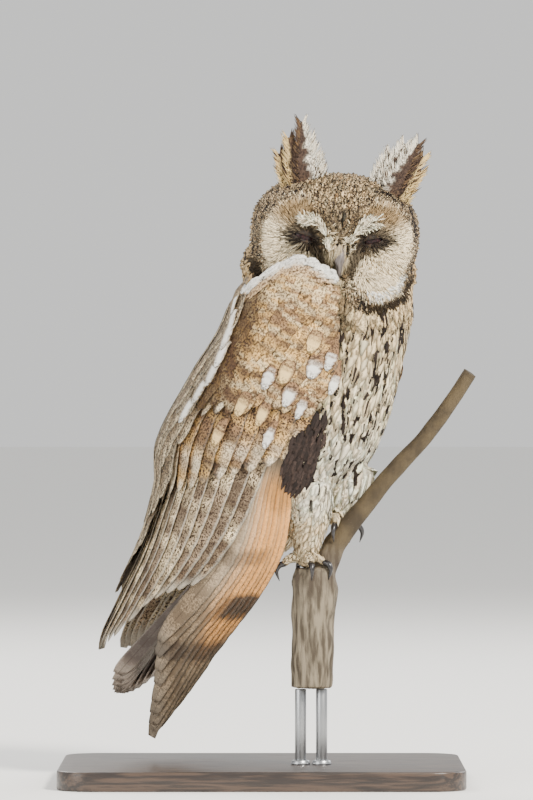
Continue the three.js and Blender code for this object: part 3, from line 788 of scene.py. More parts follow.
def varied(draw, colour, count, light=0.10, warm=0.04):
    """A linear colour for each feather, a little lighter, darker or warmer than the named one."""
    colour = np.asarray(colour)[..., :3]
    amount = draw.normal(scale=light, size=(count, 1))
    heat = draw.normal(scale=warm, size=(count, 1)) * np.array([1, 0, -1])
    return np.clip(colour * (1 + amount + heat), 0.002, 1)


def painted(tone, ink, streak=0.0, bar=0.0, mottle=0.0, fringe=0.0, bars=0.3, shaft=0.0):
    """The paint of feathers: ground and mark colours, and how strong each kind of mark is."""
    marks = np.stack(np.broadcast_arrays(streak, bar, mottle), axis=-1)
    trim = np.stack(np.broadcast_arrays(fringe, bars, shaft), axis=-1)
    return {"tone": tone, "ink": ink, "marks": marks, "trim": trim}


def mixed(first, second, share):
    """Colours between two, or between two rows of them."""
    first, second = np.asarray(first)[..., :3], np.asarray(second)[..., :3]
    return between(first, second, np.asarray(share)[..., None])


def towards(colour, share, draw, named, light=0.10):
    """Feather colours moved by a share towards varied ones of a named colour."""
    return mixed(colour, varied(draw, named, len(colour), light), share)


# The body's contour feathers: cream and buff with dark shaft streaks, bold on the puffed
# breast and narrow on the belly, plain buff on legs and feet, and mottled on nape and back.
CREAM = paint(246, 228, 190)
BELLY = paint(255, 243, 217)
FLANK = paint(232, 200, 142)
THROAT = paint(220, 192, 146)
NAPE = paint(196, 166, 120)
BACK = paint(158, 140, 112)
LEG = paint(236, 216, 178)
INK = paint(44, 34, 28)
SOFT_INK = paint(84, 64, 46)
PIECE_FEATHERS = 4200


def under_wing(points):
    """1 where a place on the trunk is hidden by a folded wing."""
    turn, up = mantle_place(points)
    below = up < wing_top(np.clip(turn, 35, 175))[0] - 0.012
    hidden = np.zeros(len(points))
    for side in SIDES.values():
        inside = turn > front_of(side, np.clip(up, -0.1, 0.17)) + 10
        own_side = np.sign(body_place(points)[1]) == side
        hidden = np.where(own_side & inside & below & (up > 0.03), 1, hidden)
    return hidden


def region_paint(points, draw):
    """The paint of feathers rooted at these places on the body."""
    turn, up = mantle_place(points)
    high = blend(0.085, 0.12, up)
    front = blend(75, 45, turn)
    back = blend(95, 125, turn)
    side = (1 - front) * (1 - back)
    leg = blend(0.045, 0.03, up) * blend(-0.06, -0.03, body_place(points)[0])
    colour = towards(varied(draw, BELLY, len(points)), high, draw, CREAM)
    colour = towards(colour, blend(28, 55, turn) * (1 - high * 0.4), draw, FLANK)
    colour = towards(colour, 0.6 * blend(0.125, 0.16, up), draw, THROAT, 0.14)
    colour = towards(colour, side, draw, NAPE)
    colour = towards(colour, back, draw, BACK, 0.2)
    colour = towards(colour, leg, draw, LEG, 0.06)
    bold = draw.uniform(size=len(points)) < 0.16 + 0.16 * high
    streak = np.where(bold, 0.55 + 0.4 * high, (0.28 + 0.1 * high) * blend(0.02, 0.06, up)) * (1 - leg)
    bar = np.clip(0.15 * (1 - high) * front * (1 - leg) + 0.2 * side, 0, 1)
    return painted(colour, INK, streak, bar, mottle=0.75 * back + 0.3 * side)


def body_wanted(middles):
    up = body_up(middles)
    trunk = (head_up(middles) < -0.03) | (up < 0.165)
    foot = (up < 0.012) & (np.linalg.norm(middles[:, :2] - FEET[:2], axis=1) < 0.036)
    return trunk * (1 - under_wing(middles)) * (1 - foot * 1.0)


def graded(low, more, start, end, height):
    """A size for each feather that grows from one height to another."""
    return lambda points: low + more * blend(start, end, height(points))


def constant(value):
    return lambda points: np.full(len(points), value)


def coat(name, spacing, wanted, seed, length, width, rows, heights, paint_of,
         wander=0.12, lie_of=lie, surface=skin_surface, arch=0.25):
    """Scatters one kind of feather over the skin and joins it into pieces."""
    draw = np.random.default_rng(seed)
    roots = surface.scattered(spacing, wanted, seed)
    count = len(roots)
    lengths = length(roots) * draw.normal(1, 0.12, count).clip(0.7, 1.35)
    widths = width(roots) * draw.normal(1, 0.1, count).clip(0.75, 1.3)
    share = np.linspace(0, 1, rows)
    lifted = [height * draw.normal(1, 0.15, count) for height in np.interp(share, *heights)]
    line, normal = traced(roots, lie_of, lengths, share, lifted, wander, seed + 1, surface)
    half = widths[:, None] / 2 * vane_profile(share, 0.5, 0.5, 1.5)
    half = half * draw.normal(1, 0.07, (count, rows)).clip(0.8, 1.2)
    paints = paint_of(roots, draw)
    for number, start in enumerate(range(0, count, PIECE_FEATHERS), start=1):
        part = slice(start, start + PIECE_FEATHERS)
        own = {key: value[part] if np.ndim(value) == 2 else value for key, value in paints.items()}
        feather_mesh(
            f"{name}_{number}", line[part], normal[part], half[part], 3, own, "plumage", arch=arch
        )


coat(
    "contour_feathers", spacing=0.0031, wanted=body_wanted, seed=11, paint_of=region_paint,
    length=graded(0.010, 0.019, 0.02, 0.08, body_up), width=graded(0.0036, 0.0034, 0.02, 0.08, body_up),
    rows=7, heights=([0, 0.4, 1], [-0.0012, 0.0010, 0.0022]), arch=0.04,
)


def foot_wanted(middles):
    near = np.linalg.norm(middles[:, :2] - FEET[:2], axis=1) < 0.045
    return (body_up(middles) < 0.018) * near * 1.0


def toe_lie(points, normals):
    return laid((points - (FEET + [0, 0, 0.02])) * [1, 1, 0.6] + [0, 0, -0.004], normals)


def foot_paint(points, draw):
    return painted(varied(draw, LEG, len(points), 0.08), SOFT_INK, mottle=0.15)


coat(
    "toe_feathers", spacing=0.0014, wanted=foot_wanted, seed=21, paint_of=foot_paint, lie_of=toe_lie,
    length=constant(0.0048), width=constant(0.0016), rows=4,
    heights=([0, 0.4, 1], [-0.0004, 0.0006, 0.0012]),
)


# The folded wings. Ten primaries lie lowest, then the secondaries, three tiers of coverts and,
# towards the back, the scapulars with their white outer edges. Each vane overlaps the next.
MILK = paint(240, 238, 230)
GOLD = paint(224, 180, 112)
OLIVE = paint(88, 68, 38)
CHESTNUT = paint(146, 114, 82)
SAND = paint(238, 214, 168)
ORANGE = paint(232, 166, 94)
ASH = paint(176, 160, 136)
UMBER = paint(118, 94, 66)
SOOT = paint(48, 38, 34)
DARK_BAR = paint(52, 41, 35)
wing_tips = {
    RIGHT: stations([(0, -0.098), (0.2, -0.112), (0.45, -0.100), (0.7, -0.078), (1, -0.052)]),
    LEFT: stations([(0, -0.084), (0.2, -0.095), (0.45, -0.088), (0.7, -0.070), (1, -0.050)]),
}
primary_spread = {RIGHT: (16, 36), LEFT: (10, 22)}
secondary_low = {
    RIGHT: stations([(0, -0.014), (0.3, -0.025), (0.55, -0.050), (1, -0.058)]),
    LEFT: stations([(0, -0.010), (0.3, -0.030), (0.55, -0.050), (1, -0.058)]),
}
secondary_first = {RIGHT: 84, LEFT: 112}


def each(draw, line, scale):
    """One random lightness for each feather."""
    return np.exp(draw.normal(scale=scale, size=(len(line), 1, 1)))[..., None]


def blotches(line, scale, seed):
    """Ripples over the feathers' shaft lines."""
    return hum(line.reshape(-1, 3), scale, seed).reshape(*line.shape[:2], 1)


def wing_vanes(name, side, count, path, paint_of, *nodes, width, lifts, seed, rows, columns,
               profile, tilt=0.0011, jitter=0.35):
    """One tier of a wing: path gives turn and up for each feather's place in it and share along."""
    draw = np.random.default_rng(seed)
    inward = np.linspace(0, 1, count)[:, None]
    share = np.linspace(0, 1, rows)
    turn, up = path(inward, share)
    turn = turn + draw.normal(scale=jitter, size=(count, 1))
    up = up + draw.normal(scale=0.0012 * jitter, size=(count, 1))
    height = between(*lifts, blend(0, 0.4, share)) + draw.normal(scale=0.00015, size=(count, 1))
    normal = mantle_normal(side, turn, up)
    line = mantle(side, turn, up) + normal * height[..., None]
    ripple = draw.normal(1, 0.025, (count, rows))
    half = np.broadcast_to(width, (count,))[:, None] / 2 * vane_profile(share, *profile) * ripple
    front = side * np.linspace(-1, 1, columns)
    paints = paint_of(draw, inward[..., None], share[None, :, None], front[None, None, :], line)
    feather_mesh(
        f"{name}_{'right' if side == RIGHT else 'left'}", line, normal, half, columns, paints,
        "flight_feathers", *nodes, thick=0.0004, arch=0.05, tilt=side * tilt, own_cells=True,
    )


def primary_paint(draw, inward, share, front, line):
    """Orange inner webs, grey-brown tips, and dark bars that run level across the feathers."""
    warm = blend(0.02, 0.15, share) * blend(0.85, 0.65, share) * blend(1.1, 0.45, inward)
    tone = mixed(ASH, ORANGE, warm * (0.75 + 0.25 * blend(-0.15, 0.25, front)))
    tone = mixed(tone, mixed(UMBER, ASH, 0.35), blend(0.6, 0.8, share))
    up = body_up(line)[..., None] + 0.0012 * inward + 0.0006 * np.abs(front)
    low_bar = blend(-0.016, -0.0185, up) * blend(-0.033, -0.0305, up) * blend(0.8, 0.45, inward) * 0.95
    high_bar = blend(0.012, 0.009, up) * blend(0.0, 0.003, up) * blend(0.15, 0.4, inward) * 0.5
    last_bar = blend(-0.046, -0.049, up) * blend(-0.062, -0.058, up) * 0.7
    tone = mixed(tone, DARK_BAR, np.clip(low_bar + high_bar + last_bar, 0, 1)) * each(draw, line, 0.08)
    bar = 0.1 + 0.4 * blend(0.6, 0.75, share)
    return painted(tone, DARK_BAR, bar=bar, mottle=0.1 + 0.6 * share, fringe=0.1, bars=0.72, shaft=0.7)


def secondary_paint(draw, inward, share, front, line):
    tone = mixed(paint(150, 130, 106), paint(242, 220, 178), blend(-0.3, 0.5, blotches(line, 260, 5)))
    tone = mixed(tone, UMBER, 0.4 * blend(0.6, 1.0, share))
    tone = mixed(tone, paint(86, 68, 52), 0.8 * blend(0.2, 0.9, blotches(line, 230, 19)))
    tone = tone * each(draw, line, 0.2)
    return painted(tone, paint(58, 44, 34), bar=0.45, mottle=1.0, fringe=0.45, bars=0.75, shaft=0.6)


def covert_paint(draw, inward, share, front, line):
    tone = mixed(CHESTNUT, GOLD, blend(-0.5, 0.5, blotches(line, 380, 6)))
    pale = blend(0.45, 0.8, share) * blend(-0.5, 0.3, front) * blend(-0.8, 0.4, blotches(line, 300, 16))
    tone = mixed(tone, mixed(SAND, MILK, 0.3), pale) * each(draw, line, 0.14)
    dusk = blend(0.1, 0.9, blotches(line, 480, 18)) * blend(0.9, 0.3, pale)
    tone = mixed(tone, paint(76, 56, 40), 0.85 * dusk)
    mottle = 1.0 - 0.35 * pale
    return painted(tone, paint(56, 41, 31), bar=0.25, mottle=mottle, fringe=0.1, bars=0.4, shaft=0.3)


def arm_paint(draw, inward, share, front, line):
    """The small feathers of the shoulder: gold and brown, olive towards the back."""
    turn, up = (values[..., None] for values in mantle_place(line))
    tone = mixed(CHESTNUT, GOLD, blend(-0.5, 0.6, blotches(line, 330, 7)))
    tone = mixed(tone, SAND, blend(-0.1, 0.7, blotches(line, 620, 8)) * 0.8)
    tone = mixed(tone, OLIVE, blend(84, 104, turn) * blend(126, 112, turn) * 0.85)
    tone = mixed(tone, BACK, blend(112, 126, turn) * 0.9) * each(draw, line, 0.16)
    dusk = blend(0.15, 0.95, blotches(line, 560, 18)) * blend(0.185, 0.12, up)
    tone = mixed(tone, paint(82, 58, 40), (0.4 + 0.5 * blend(0.165, 0.13, up)) * dusk)
    return painted(tone, paint(62, 44, 32), bar=0.1, mottle=0.8 + 0.3 * blend(84, 104, turn), shaft=0.15)


def scapular_paint(draw, inward, share, front, line):
    pale = blend(0.1, 0.6, front) * blend(0.3, 0.6, share)
    tone = mixed(paint(138, 118, 90), paint(232, 214, 178), pale * 0.7) * each(draw, line, 0.18)
    return painted(tone, paint(46, 37, 31), bar=0.3, mottle=1.0, fringe=0.15, bars=0.4, shaft=0.5)


def spot_paint(colour, around, back_web, start):
    """A feather with one clear patch of colour, in a mottled feather of another."""
    def paint_of(draw, inward, share, front, line):
        uneven = blotches(line, 900, 13)
        clear = blend(start, start + 0.25, share + 0.12 * uneven)
        clear = clear * blend(1.0, 0.6, np.abs(front) + 0.2 * uneven)
        clear = clear * (1 - back_web * blend(-0.1, -0.5, front))
        mottle = np.maximum(0.9 * (1 - clear), 0.75 * blend(0.72, 0.92, share))
        tone = mixed(around, colour, clear) * each(draw, line, 0.05)
        return painted(tone, paint(62, 46, 36), mottle=mottle)
    return paint_of


def wrist_paint(draw, inward, share, front, line):
    tone = mixed(SOOT, paint(84, 66, 56), blend(0.6, 1.0, share) * 0.45) * each(draw, line, 0.28)
    return painted(tone, paint(26, 21, 20), mottle=0.4)


def edge_paint(lower):
    """White feathers along the shoulder's edge that turn golden and speckled farther down."""
    def paint_of(draw, inward, share, front, line):
        low = blend(0.25, 0.8, lower)[:, None, None]
        tone = mixed(mixed(MILK, GOLD, 0.75 * low), CHESTNUT, 0.3 * low) * each(draw, line, 0.07)
        return painted(tone, paint(76, 56, 42), mottle=0.25 + 0.6 * low)
    return paint_of


# Each white scapular has a root, a tip and a width, and each pale spot a place and a width.
white_scapulars = [
    ((122, 0.166), (119, 0.150), 0.0075), ((119, 0.160), (115, 0.140), 0.0105),
    ((116, 0.150), (112, 0.129), 0.0125), ((112, 0.139), (110, 0.119), 0.0125),
    ((111, 0.126), (111, 0.108), 0.0110), ((112, 0.116), (114, 0.098), 0.0105),
    ((115, 0.105), (118, 0.086), 0.0110),
]
shoulder_line = stations([
    (0, 47, 0.172), (0.25, 60, 0.181), (0.5, 78, 0.186), (0.75, 98, 0.177), (1, 122, 0.163),
])
pale_spots = {
    "white": (MILK, [
        (52, 0.121, 0.0098), (44, 0.126, 0.0074), (60, 0.104, 0.0090), (39, 0.111, 0.0062),
        (74, 0.113, 0.0080), (52, 0.095, 0.0064), (64, 0.078, 0.0066),
    ]),
    "buff": (paint(242, 208, 146), [
        (56, 0.135, 0.0086), (65, 0.117, 0.0094), (82, 0.098, 0.0080), (70, 0.092, 0.0076),
        (90, 0.080, 0.0080),
    ]),
}
EDGE_FEATHERS = 230
WRIST_UP = 0.066
WRIST_HALF_UP = 0.0165
WRIST_HALF_TURN = 7.8


def wrist_spots(side):
    """Roots inside an upright oval at the wing's front edge, with a narrow upper part."""
    spots = []
    for up in np.arange(0.092, 0.048, -0.0028):
        reach = WRIST_HALF_TURN * math.sqrt(max(0.0, 1 - ((up - WRIST_UP) / WRIST_HALF_UP) ** 2))
        reach += 2.2 if up > WRIST_UP + 0.010 else 0
        middle = float(front_of(side, up)) + (3 if side == RIGHT else 18)
        spots += [(middle + turn, up) for turn in np.arange(-reach, reach, 1.4)]
    return np.array(spots)


def tract(side, spacing, wanted, seed):
    """Staggered places over a wing's coat: turn and up for each feather that is wanted."""
    draw = np.random.default_rng(seed)
    rows = []
    for row, up in enumerate(np.arange(-0.06, 0.19, spacing)):
        _, deep, wide = mantle_slices(up)
        step = math.degrees(spacing / ((float(deep) + float(wide)) / 2))
        for turn in np.arange(30 + (row % 2) * step / 2, 180, step):
            spot = (turn + draw.normal(scale=step * 0.15), up + draw.normal(scale=spacing * 0.15))
            if wanted(side, *spot):
                rows.append(spot)
    return np.array(rows)


def on_shoulder(side, turn, up):
    ragged_front = float(front_of(side, up)) + 3 + 2.5 * math.sin(up * 610)
    return ragged_front < turn < 124 and 0.108 < up < float(wing_top(turn)[0]) - 0.002


def on_back(side, turn, up):
    low = 0.046 - 0.0021 * (turn - 130)
    return turn > 112 and max(low, 0.002) < up < float(wing_top(turn)[0]) + 0.012


def primary_path(side):
    def path(inward, share):
        up = between(0.066, wing_tips[side](inward)[0], share)
        return front_of(side, up) + 7 + inward * between(*primary_spread[side], share), up
    return path


def secondary_path(side):
    def path(inward, share):
        start = between(float(front_of(side, 0.06)) + 20, 160, inward)
        end = between(secondary_first[side], 163, inward)
        return between(start, end, share), between(0.072, secondary_low[side](inward)[0], share)
    return path


def covert_path(side, front_up, gap, back, swing, top, lows):
    """A tier from a gap behind the front edge to the back, whose feathers swing as they run down."""
    def path(inward, share):
        turn = between(float(front_of(side, front_up)) + gap, back, inward) + swing * share
        return turn, between(top, between(*lows, inward), share)
    return path


def line_path(starts, ends):
    """Feathers that each run from a start of turn and up to an end."""
    def path(inward, share):
        return tuple(between(starts[:, k:k + 1], ends[:, k:k + 1], share) for k in (0, 1))
    return path


def free_path(spots, length, swing):
    """Feathers rooted at separate places, which run down and swing to the back."""
    return line_path(spots, spots + [swing, -length])


for side in SIDES.values():
    wing_vanes(
        "primaries", side, 10, primary_path(side), primary_paint,
        "wing_right" if side == RIGHT else "wing_left",
        width=0.0145, lifts=(-0.0085, -0.0055), seed=31, rows=56, columns=9, profile=(0.45, 0.6, 3.0),
    )
    wing_vanes(
        "secondaries", side, 13, secondary_path(side), secondary_paint,
        width=0.0165, lifts=(-0.007, -0.0028), seed=32, rows=26, columns=9, profile=(0.45, 0.6, 3.0),
    )
    wing_vanes(
        "greater_coverts", side, 14,
        covert_path(side, front_up=0.09, gap=10, back=158, swing=6, top=0.110, lows=(0.062, 0.026)),
        covert_paint,
        width=0.0165, lifts=(-0.005, -0.0014), seed=33, rows=22, columns=11, profile=(0.45, 0.5, 2.2),
    )
    wing_vanes(
        "median_coverts", side, 14,
        covert_path(side, front_up=0.12, gap=8, back=150, swing=5, top=0.142, lows=(0.098, 0.084)),
        covert_paint,
        width=0.0150, lifts=(-0.0035, -0.0002), seed=34, rows=18, columns=9, profile=(0.45, 0.5, 2.2),
    )
    shoulder = tract(side, spacing=0.0056, wanted=on_shoulder, seed=35)
    wing_vanes(
        "lesser_coverts", side, len(shoulder), free_path(shoulder, length=0.0165, swing=3), arm_paint,
        width=0.0086, lifts=(-0.0012, 0.0014), seed=36, rows=10, columns=7, profile=(0.6, 0.4, 1.7),
        tilt=0.0002, jitter=1.3,
    )
    upper_back = tract(side, spacing=0.0090, wanted=on_back, seed=37)
    wing_vanes(
        "scapulars", side, len(upper_back), free_path(upper_back, length=0.027, swing=3), scapular_paint,
        width=0.0130, lifts=(-0.001, 0.0022), seed=38, rows=12, columns=7, profile=(0.5, 0.5, 2.0),
        tilt=0.0003, jitter=1.2,
    )
    starts, ends, widths = (np.array(part) for part in zip(*white_scapulars))
    wing_vanes(
        "white_scapulars", side, len(starts), line_path(starts, ends),
        spot_paint(MILK, BACK, back_web=0.9, start=0.1), width=widths, lifts=(0.0, 0.0034),
        seed=39, rows=14, columns=9, profile=(0.55, 0.5, 2.4),
        tilt=0.0003, jitter=0.4,
    )
    draw = np.random.default_rng(43)
    along = np.sort(draw.uniform(0, 0.97, EDGE_FEATHERS))
    lower = draw.uniform(0, 1, EDGE_FEATHERS) ** 1.5
    off_line = np.stack([0 * lower, between(0.0014, -0.0062, lower)], axis=-1)
    starts = np.stack(shoulder_line(along), axis=-1) + off_line
    ends = np.stack(shoulder_line(np.clip(along + 0.1, 0, 1)), axis=-1) + off_line
    ends[:, 1] -= 0.0008 + 0.0035 * lower
    shown = starts[:, 0] > front_of(side, starts[:, 1])
    wing_vanes(
        "shoulder_edge", side, shown.sum(), line_path(starts[shown], ends[shown]), edge_paint(lower[shown]),
        width=0.0028, lifts=(-0.0008, 0.0016), seed=40, rows=9, columns=5, profile=(0.3, 0.4, 1.3),
        tilt=0.0, jitter=0.5,
    )
    for name, (colour, places) in pale_spots.items():
        spots = np.array([place for place in places if place[0] > front_of(side, place[1])])
        tops = spots[:, :2] + [-1, 0.013]
        wing_vanes(
            f"{name}_spots", side, len(spots), free_path(tops, length=0.0205, swing=2.5),
            spot_paint(colour, CHESTNUT, back_web=0.0, start=0.4), width=spots[:, 2] * 1.1,
            lifts=(-0.0026, 0.0021),
            seed=41, rows=18, columns=11, profile=(0.35, 0.62, 1.5), tilt=0.0001, jitter=0.5,
        )
    wrist = wrist_spots(side)
    wing_vanes(
        "wrist_patch", side, len(wrist), free_path(wrist, length=0.0095, swing=1), wrist_paint,
        width=0.0030, lifts=(-0.0018, 0.0014), seed=42, rows=7, columns=5, profile=(0.35, 0.35, 1.3),
        tilt=0.0001, jitter=0.9,
    )


# The tail: twelve long feathers in a shallow fan that leaves the rump behind the feet, grey and
# barred, with rounded pale tips; the darker grey over all but the tips is painted shade.
TAIL_ROOT = np.array([-0.062, 0, 0.022])
TAIL_TIP = np.array([-0.147, -0.005, -0.087])
TAIL_HALVES = (0.013, 0.027)
TAIL_FEATHERS = 12
TAIL_ROWS = 26
TAIL_VANE = 0.0165


def tail_place(across, along):
    half = between(*TAIL_HALVES, along)
    sag = 0.005 * across**2
    ahead, left, up = (between(TAIL_ROOT[k], TAIL_TIP[k], along) for k in range(3))
    return on_body(ahead + sag, left + half * across, up + 3 * sag * along)


apart = np.linspace(-1, 1, TAIL_FEATHERS)[:, None]
share = np.linspace(0, 1, TAIL_ROWS)
along = between(-0.05, 1 - 0.07 * apart**2, share)
here = tail_place(apart, along)
normal = unit(np.cross(tail_place(apart + 0.01, along) - here, tail_place(apart, along + 0.01) - here))
line = tail_place(apart * between(0.5, 0.8, share), along)
line = line + normal * (0.0015 - 0.0055 * np.abs(apart))[..., None]
half = TAIL_VANE / 2 * vane_profile(share, 0.4, 0.8, 4.0) * np.ones((TAIL_FEATHERS, 1))
# Painted shade: all but the pale tips are painted a darker grey than the feathers' own pale grey-brown.
tail_tone_and_painted_shade = mixed(paint(132, 122, 116), paint(196, 178, 164), blend(0.86, 0.97, share)[:, None])
tail_paint = painted(tail_tone_and_painted_shade, paint(84, 74, 70), bar=0.4, mottle=0.25, fringe=0.2, bars=0.8, shaft=0.7)
feather_mesh("tail_feathers", line, normal, half, 9, tail_paint, "flight_feathers", "tail",
             thick=0.0006, arch=0.1, own_cells=True)


# The head. Each eye is a dark glossy ball set deep in the face, nearly closed by two feathered
# lids that leave a slit sloping down to the bill.
EYE_APART = 0.021
EYE_RADIUS = 0.009
EYE_DEPTH = -0.025
SLIT_HALF = 0.0066
SLIT_UP = 0.0011
SLIT_DOWN = 0.0017
SLIT_SLOPE = math.radians(15)
LID_RADIUS = 0.0102
LID_REACH = 0.0094


def eye_middle(side):
    return on_head(side * EYE_APART, EYE_DEPTH, 0.0)


def lid_ring(side, share, radius):
    """A ring on the lids, from the rim of the slit at share 0 out to a circle at share 1."""
    turn = np.linspace(0, 2 * math.pi, 64, endpoint=False)
    x = SLIT_HALF * np.cos(turn)
    rise = np.where(np.sin(turn) > 0, SLIT_UP, SLIT_DOWN)
    z = rise * np.sign(np.sin(turn)) * np.sqrt(np.abs(np.sin(turn))) * np.abs(np.sin(turn)) ** 0.4
    x = between(x, LID_REACH * np.cos(turn), share)
    z = between(z, LID_REACH * np.sin(turn), share)
    slope = SLIT_SLOPE * side * (1 - share)
    x, z = x * math.cos(slope) - z * math.sin(slope), x * math.sin(slope) + z * math.cos(slope)
    deep = np.sqrt(np.maximum(radius**2 - x * x - z * z, 0.0))
    return on_head(side * EYE_APART + x, EYE_DEPTH - deep, z)


def ringed(rings, close_start=False, close_end=False):
    """A surface bridged through rings of places."""
    shape = bmesh.new()
    loops = []
    for ring in rings:
        made = bmesh.ops.create_circle(shape, segments=len(ring), radius=1)
        for vertex, place in zip(made["verts"], ring):
            vertex.co = Vector(place)
        loops.append(list({edge for vertex in made["verts"] for edge in vertex.link_edges}))
    for first, second in zip(loops, loops[1:]):
        bmesh.ops.bridge_loops(shape, edges=first + second)
    if close_start:
        bmesh.ops.contextual_create(shape, geom=loops[0])
    if close_end:
        bmesh.ops.contextual_create(shape, geom=loops[-1])
    bmesh.ops.recalc_face_normals(shape, faces=shape.faces)
    return shape


def limb_rings(points, radii, sides=20, count=16, flat=1.0):
    """Rings round a smooth line through points, whose radii run along it, for claws and bill."""
    points = np.array(points)
    places = np.linspace(0, 1, len(points))
    line = stations(np.column_stack([places, points]))
    share = np.linspace(0, 1, count)
    middle = np.stack(line(share), axis=-1)
    way = unit(np.gradient(middle, axis=0))
    aside = unit(np.cross(way, np.array([0.13, 0.31, 0.94])))
    above = np.cross(aside, way)
    size = stations([(place, radius) for place, radius in radii])(share)[0]
    turn = np.linspace(0, 2 * math.pi, sides, endpoint=False)
    return [
        middle[i] + size[i] * (np.cos(turn)[:, None] * aside[i] * flat + np.sin(turn)[:, None] * above[i])
        for i in range(count)
    ]


wet_eye = Finish("wet_eyeball")
iris_grain = wet_eye.noise(900, 3)
eye_colour = wet_eye.mix(paint(16, 8, 9), paint(52, 26, 28), iris_grain.band(0.4, 0.7))
eye_finish = wet_eye.surface(eye_colour, 0.3, Specular_IOR_Level=0.2)
lid_finish = Finish("feathered_lid")
lid_tone = lid_finish.noise(700, 3)
lid_colour = lid_finish.mix(paint(26, 19, 14), paint(58, 43, 28), lid_tone.band(0.4, 0.65))
lid_material = lid_finish.surface(lid_colour, 0.85, lid_tone, 0.0003, 0.5)
lid_pieces = []
for name, side in SIDES.items():
    eye = bmesh.new()
    place = Matrix.Translation(Vector(eye_middle(side)))
    bmesh.ops.create_uvsphere(eye, u_segments=48, v_segments=32, radius=EYE_RADIUS, matrix=place)
    add_piece(f"eyeball_{name}", eye, eye_finish, "eye", f"eye_{name}")
    rings = [lid_ring(side, 0.0, EYE_RADIUS + 0.0001), lid_ring(side, 0.0, EYE_RADIUS + 0.0006)]
    rings += [lid_ring(side, share, LID_RADIUS) for share in (0.06, 0.2, 0.4, 0.6, 0.8, 1.0)]
    lid_pieces.append(add_piece(f"lids_{name}", ringed(rings), lid_material, "plumage"))


# The bill: a short hooked upper half with a nostril on each side, over a small lower half. Each
# nostril is a near-black ball of painted shade in its opening. The bill is grey horn, and bristles hide all
# but its ridge.
BILL_X = 0.0005
NOSTRIL_RADIUS = 0.0009
upper_ridge = [
    (-0.032, -0.003), (-0.040, -0.006), (-0.0465, -0.012), (-0.047, -0.019), (-0.0445, -0.0255),
]
upper_radii = [(0, 0.0048), (0.3, 0.0043), (0.55, 0.0034), (0.8, 0.0021), (1, 0.0003)]
lower_ridge = [(-0.030, -0.014), (-0.037, -0.016), (-0.0415, -0.0200)]
lower_radii = [(0, 0.0034), (0.6, 0.0028), (1, 0.0006)]
horn = Finish("grey_horn")
horn_grain = horn.noise(500, 4, stretch=(1, 1, 0.3))
low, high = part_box("bill_upper")
toward_tip = horn.node("SeparateXYZ", None, {"Vector": horn.place}, 2)
pale_ridge = horn_grain.band(0.3, 0.7) * 0.5 + 0.5 * toward_tip.band(low[2] + 0.004, high[2] - 0.006)
bill_colour = horn.mix(paint(52, 46, 45), paint(122, 112, 106), pale_ridge)
bill_finish = horn.surface(bill_colour, 0.34 + 0.2 * horn_grain, horn_grain, 0.0001, 0.3)
upper_line = [on_head(BILL_X, y, z) for y, z in upper_ridge]
upper_rings = limb_rings(upper_line, upper_radii, sides=24, count=20, flat=0.72)
add_piece("bill_top", ringed(upper_rings, True, True), bill_finish, "horn", "bill_upper")
lower_rings = limb_rings([on_head(BILL_X, y, z) for y, z in lower_ridge], lower_radii, count=12)
add_piece("bill_under", ringed(lower_rings, True, True), bill_finish, "horn", "bill_lower")
# Painted shade: each nostril opening is a small near-black ball in place of the shade inside it.
nostril_shade_material = Finish("nostril_shade").surface(paint(20, 16, 16), 0.7)
for name, side in SIDES.items():
    nostril_shade = bmesh.new()
    spot = Matrix.Translation(Vector(on_head(BILL_X + side * 0.0040, -0.0415, -0.0080)))
    bmesh.ops.create_icosphere(nostril_shade, subdivisions=3, radius=NOSTRIL_RADIUS, matrix=spot)
    add_piece(f"nostril_{name}", nostril_shade, nostril_shade_material, "horn")


# The claws: eight black curved claws of smooth horn, each set in the end of its toe.
claw_horn = Finish("black_claw")
claw_grain = claw_horn.noise(700, 3)
claw_colour = claw_horn.mix(paint(20, 18, 20), paint(58, 52, 52), claw_grain.band(0.45, 0.7) * 0.6)
claw_finish = claw_horn.surface(claw_colour, 0.26 + 0.15 * claw_grain, Coat_Weight=0.3)
TOES = {
    "right": ((-0.007, -0.007, 0.001), ((-172, 15, 6), (-80, 14, 5), (-35, 14, 4), (110, 12, 5))),
    "left": ((0.013, 0.001, 0.026), ((25, 12, 9), (62, 12, 10), (-150, 11, 8), (-105, 11, 8))),
}
CLAW_LONG = 0.012
for name, (sole, toes) in TOES.items():
    for number, (heading, reach, drop) in enumerate(toes, start=1):
        way = np.array([math.cos(math.radians(heading)), math.sin(math.radians(heading)), 0])
        end = FEET + sole + way * reach * 0.001 - np.array([0, 0, drop * 0.0005])
        claw_line = [
            end - way * 0.0012 + [0, 0, 0.0005],
            end + way * CLAW_LONG * 0.2 + [0, 0, -CLAW_LONG * 0.08],
            end + way * CLAW_LONG * 0.33 + [0, 0, -CLAW_LONG * 0.4],
            end + way * CLAW_LONG * 0.18 + [0, 0, -CLAW_LONG * 0.86],
        ]
        claw_radii = [(0, 0.0020), (0.35, 0.0018), (0.7, 0.0011), (1, 0.0002)]
        rings = limb_rings(claw_line, claw_radii, sides=16, count=14)
        add_piece(f"talon_{name}_{number}", ringed(rings, True, True), claw_finish, "horn",
                  f"claw_{name}_{number}")


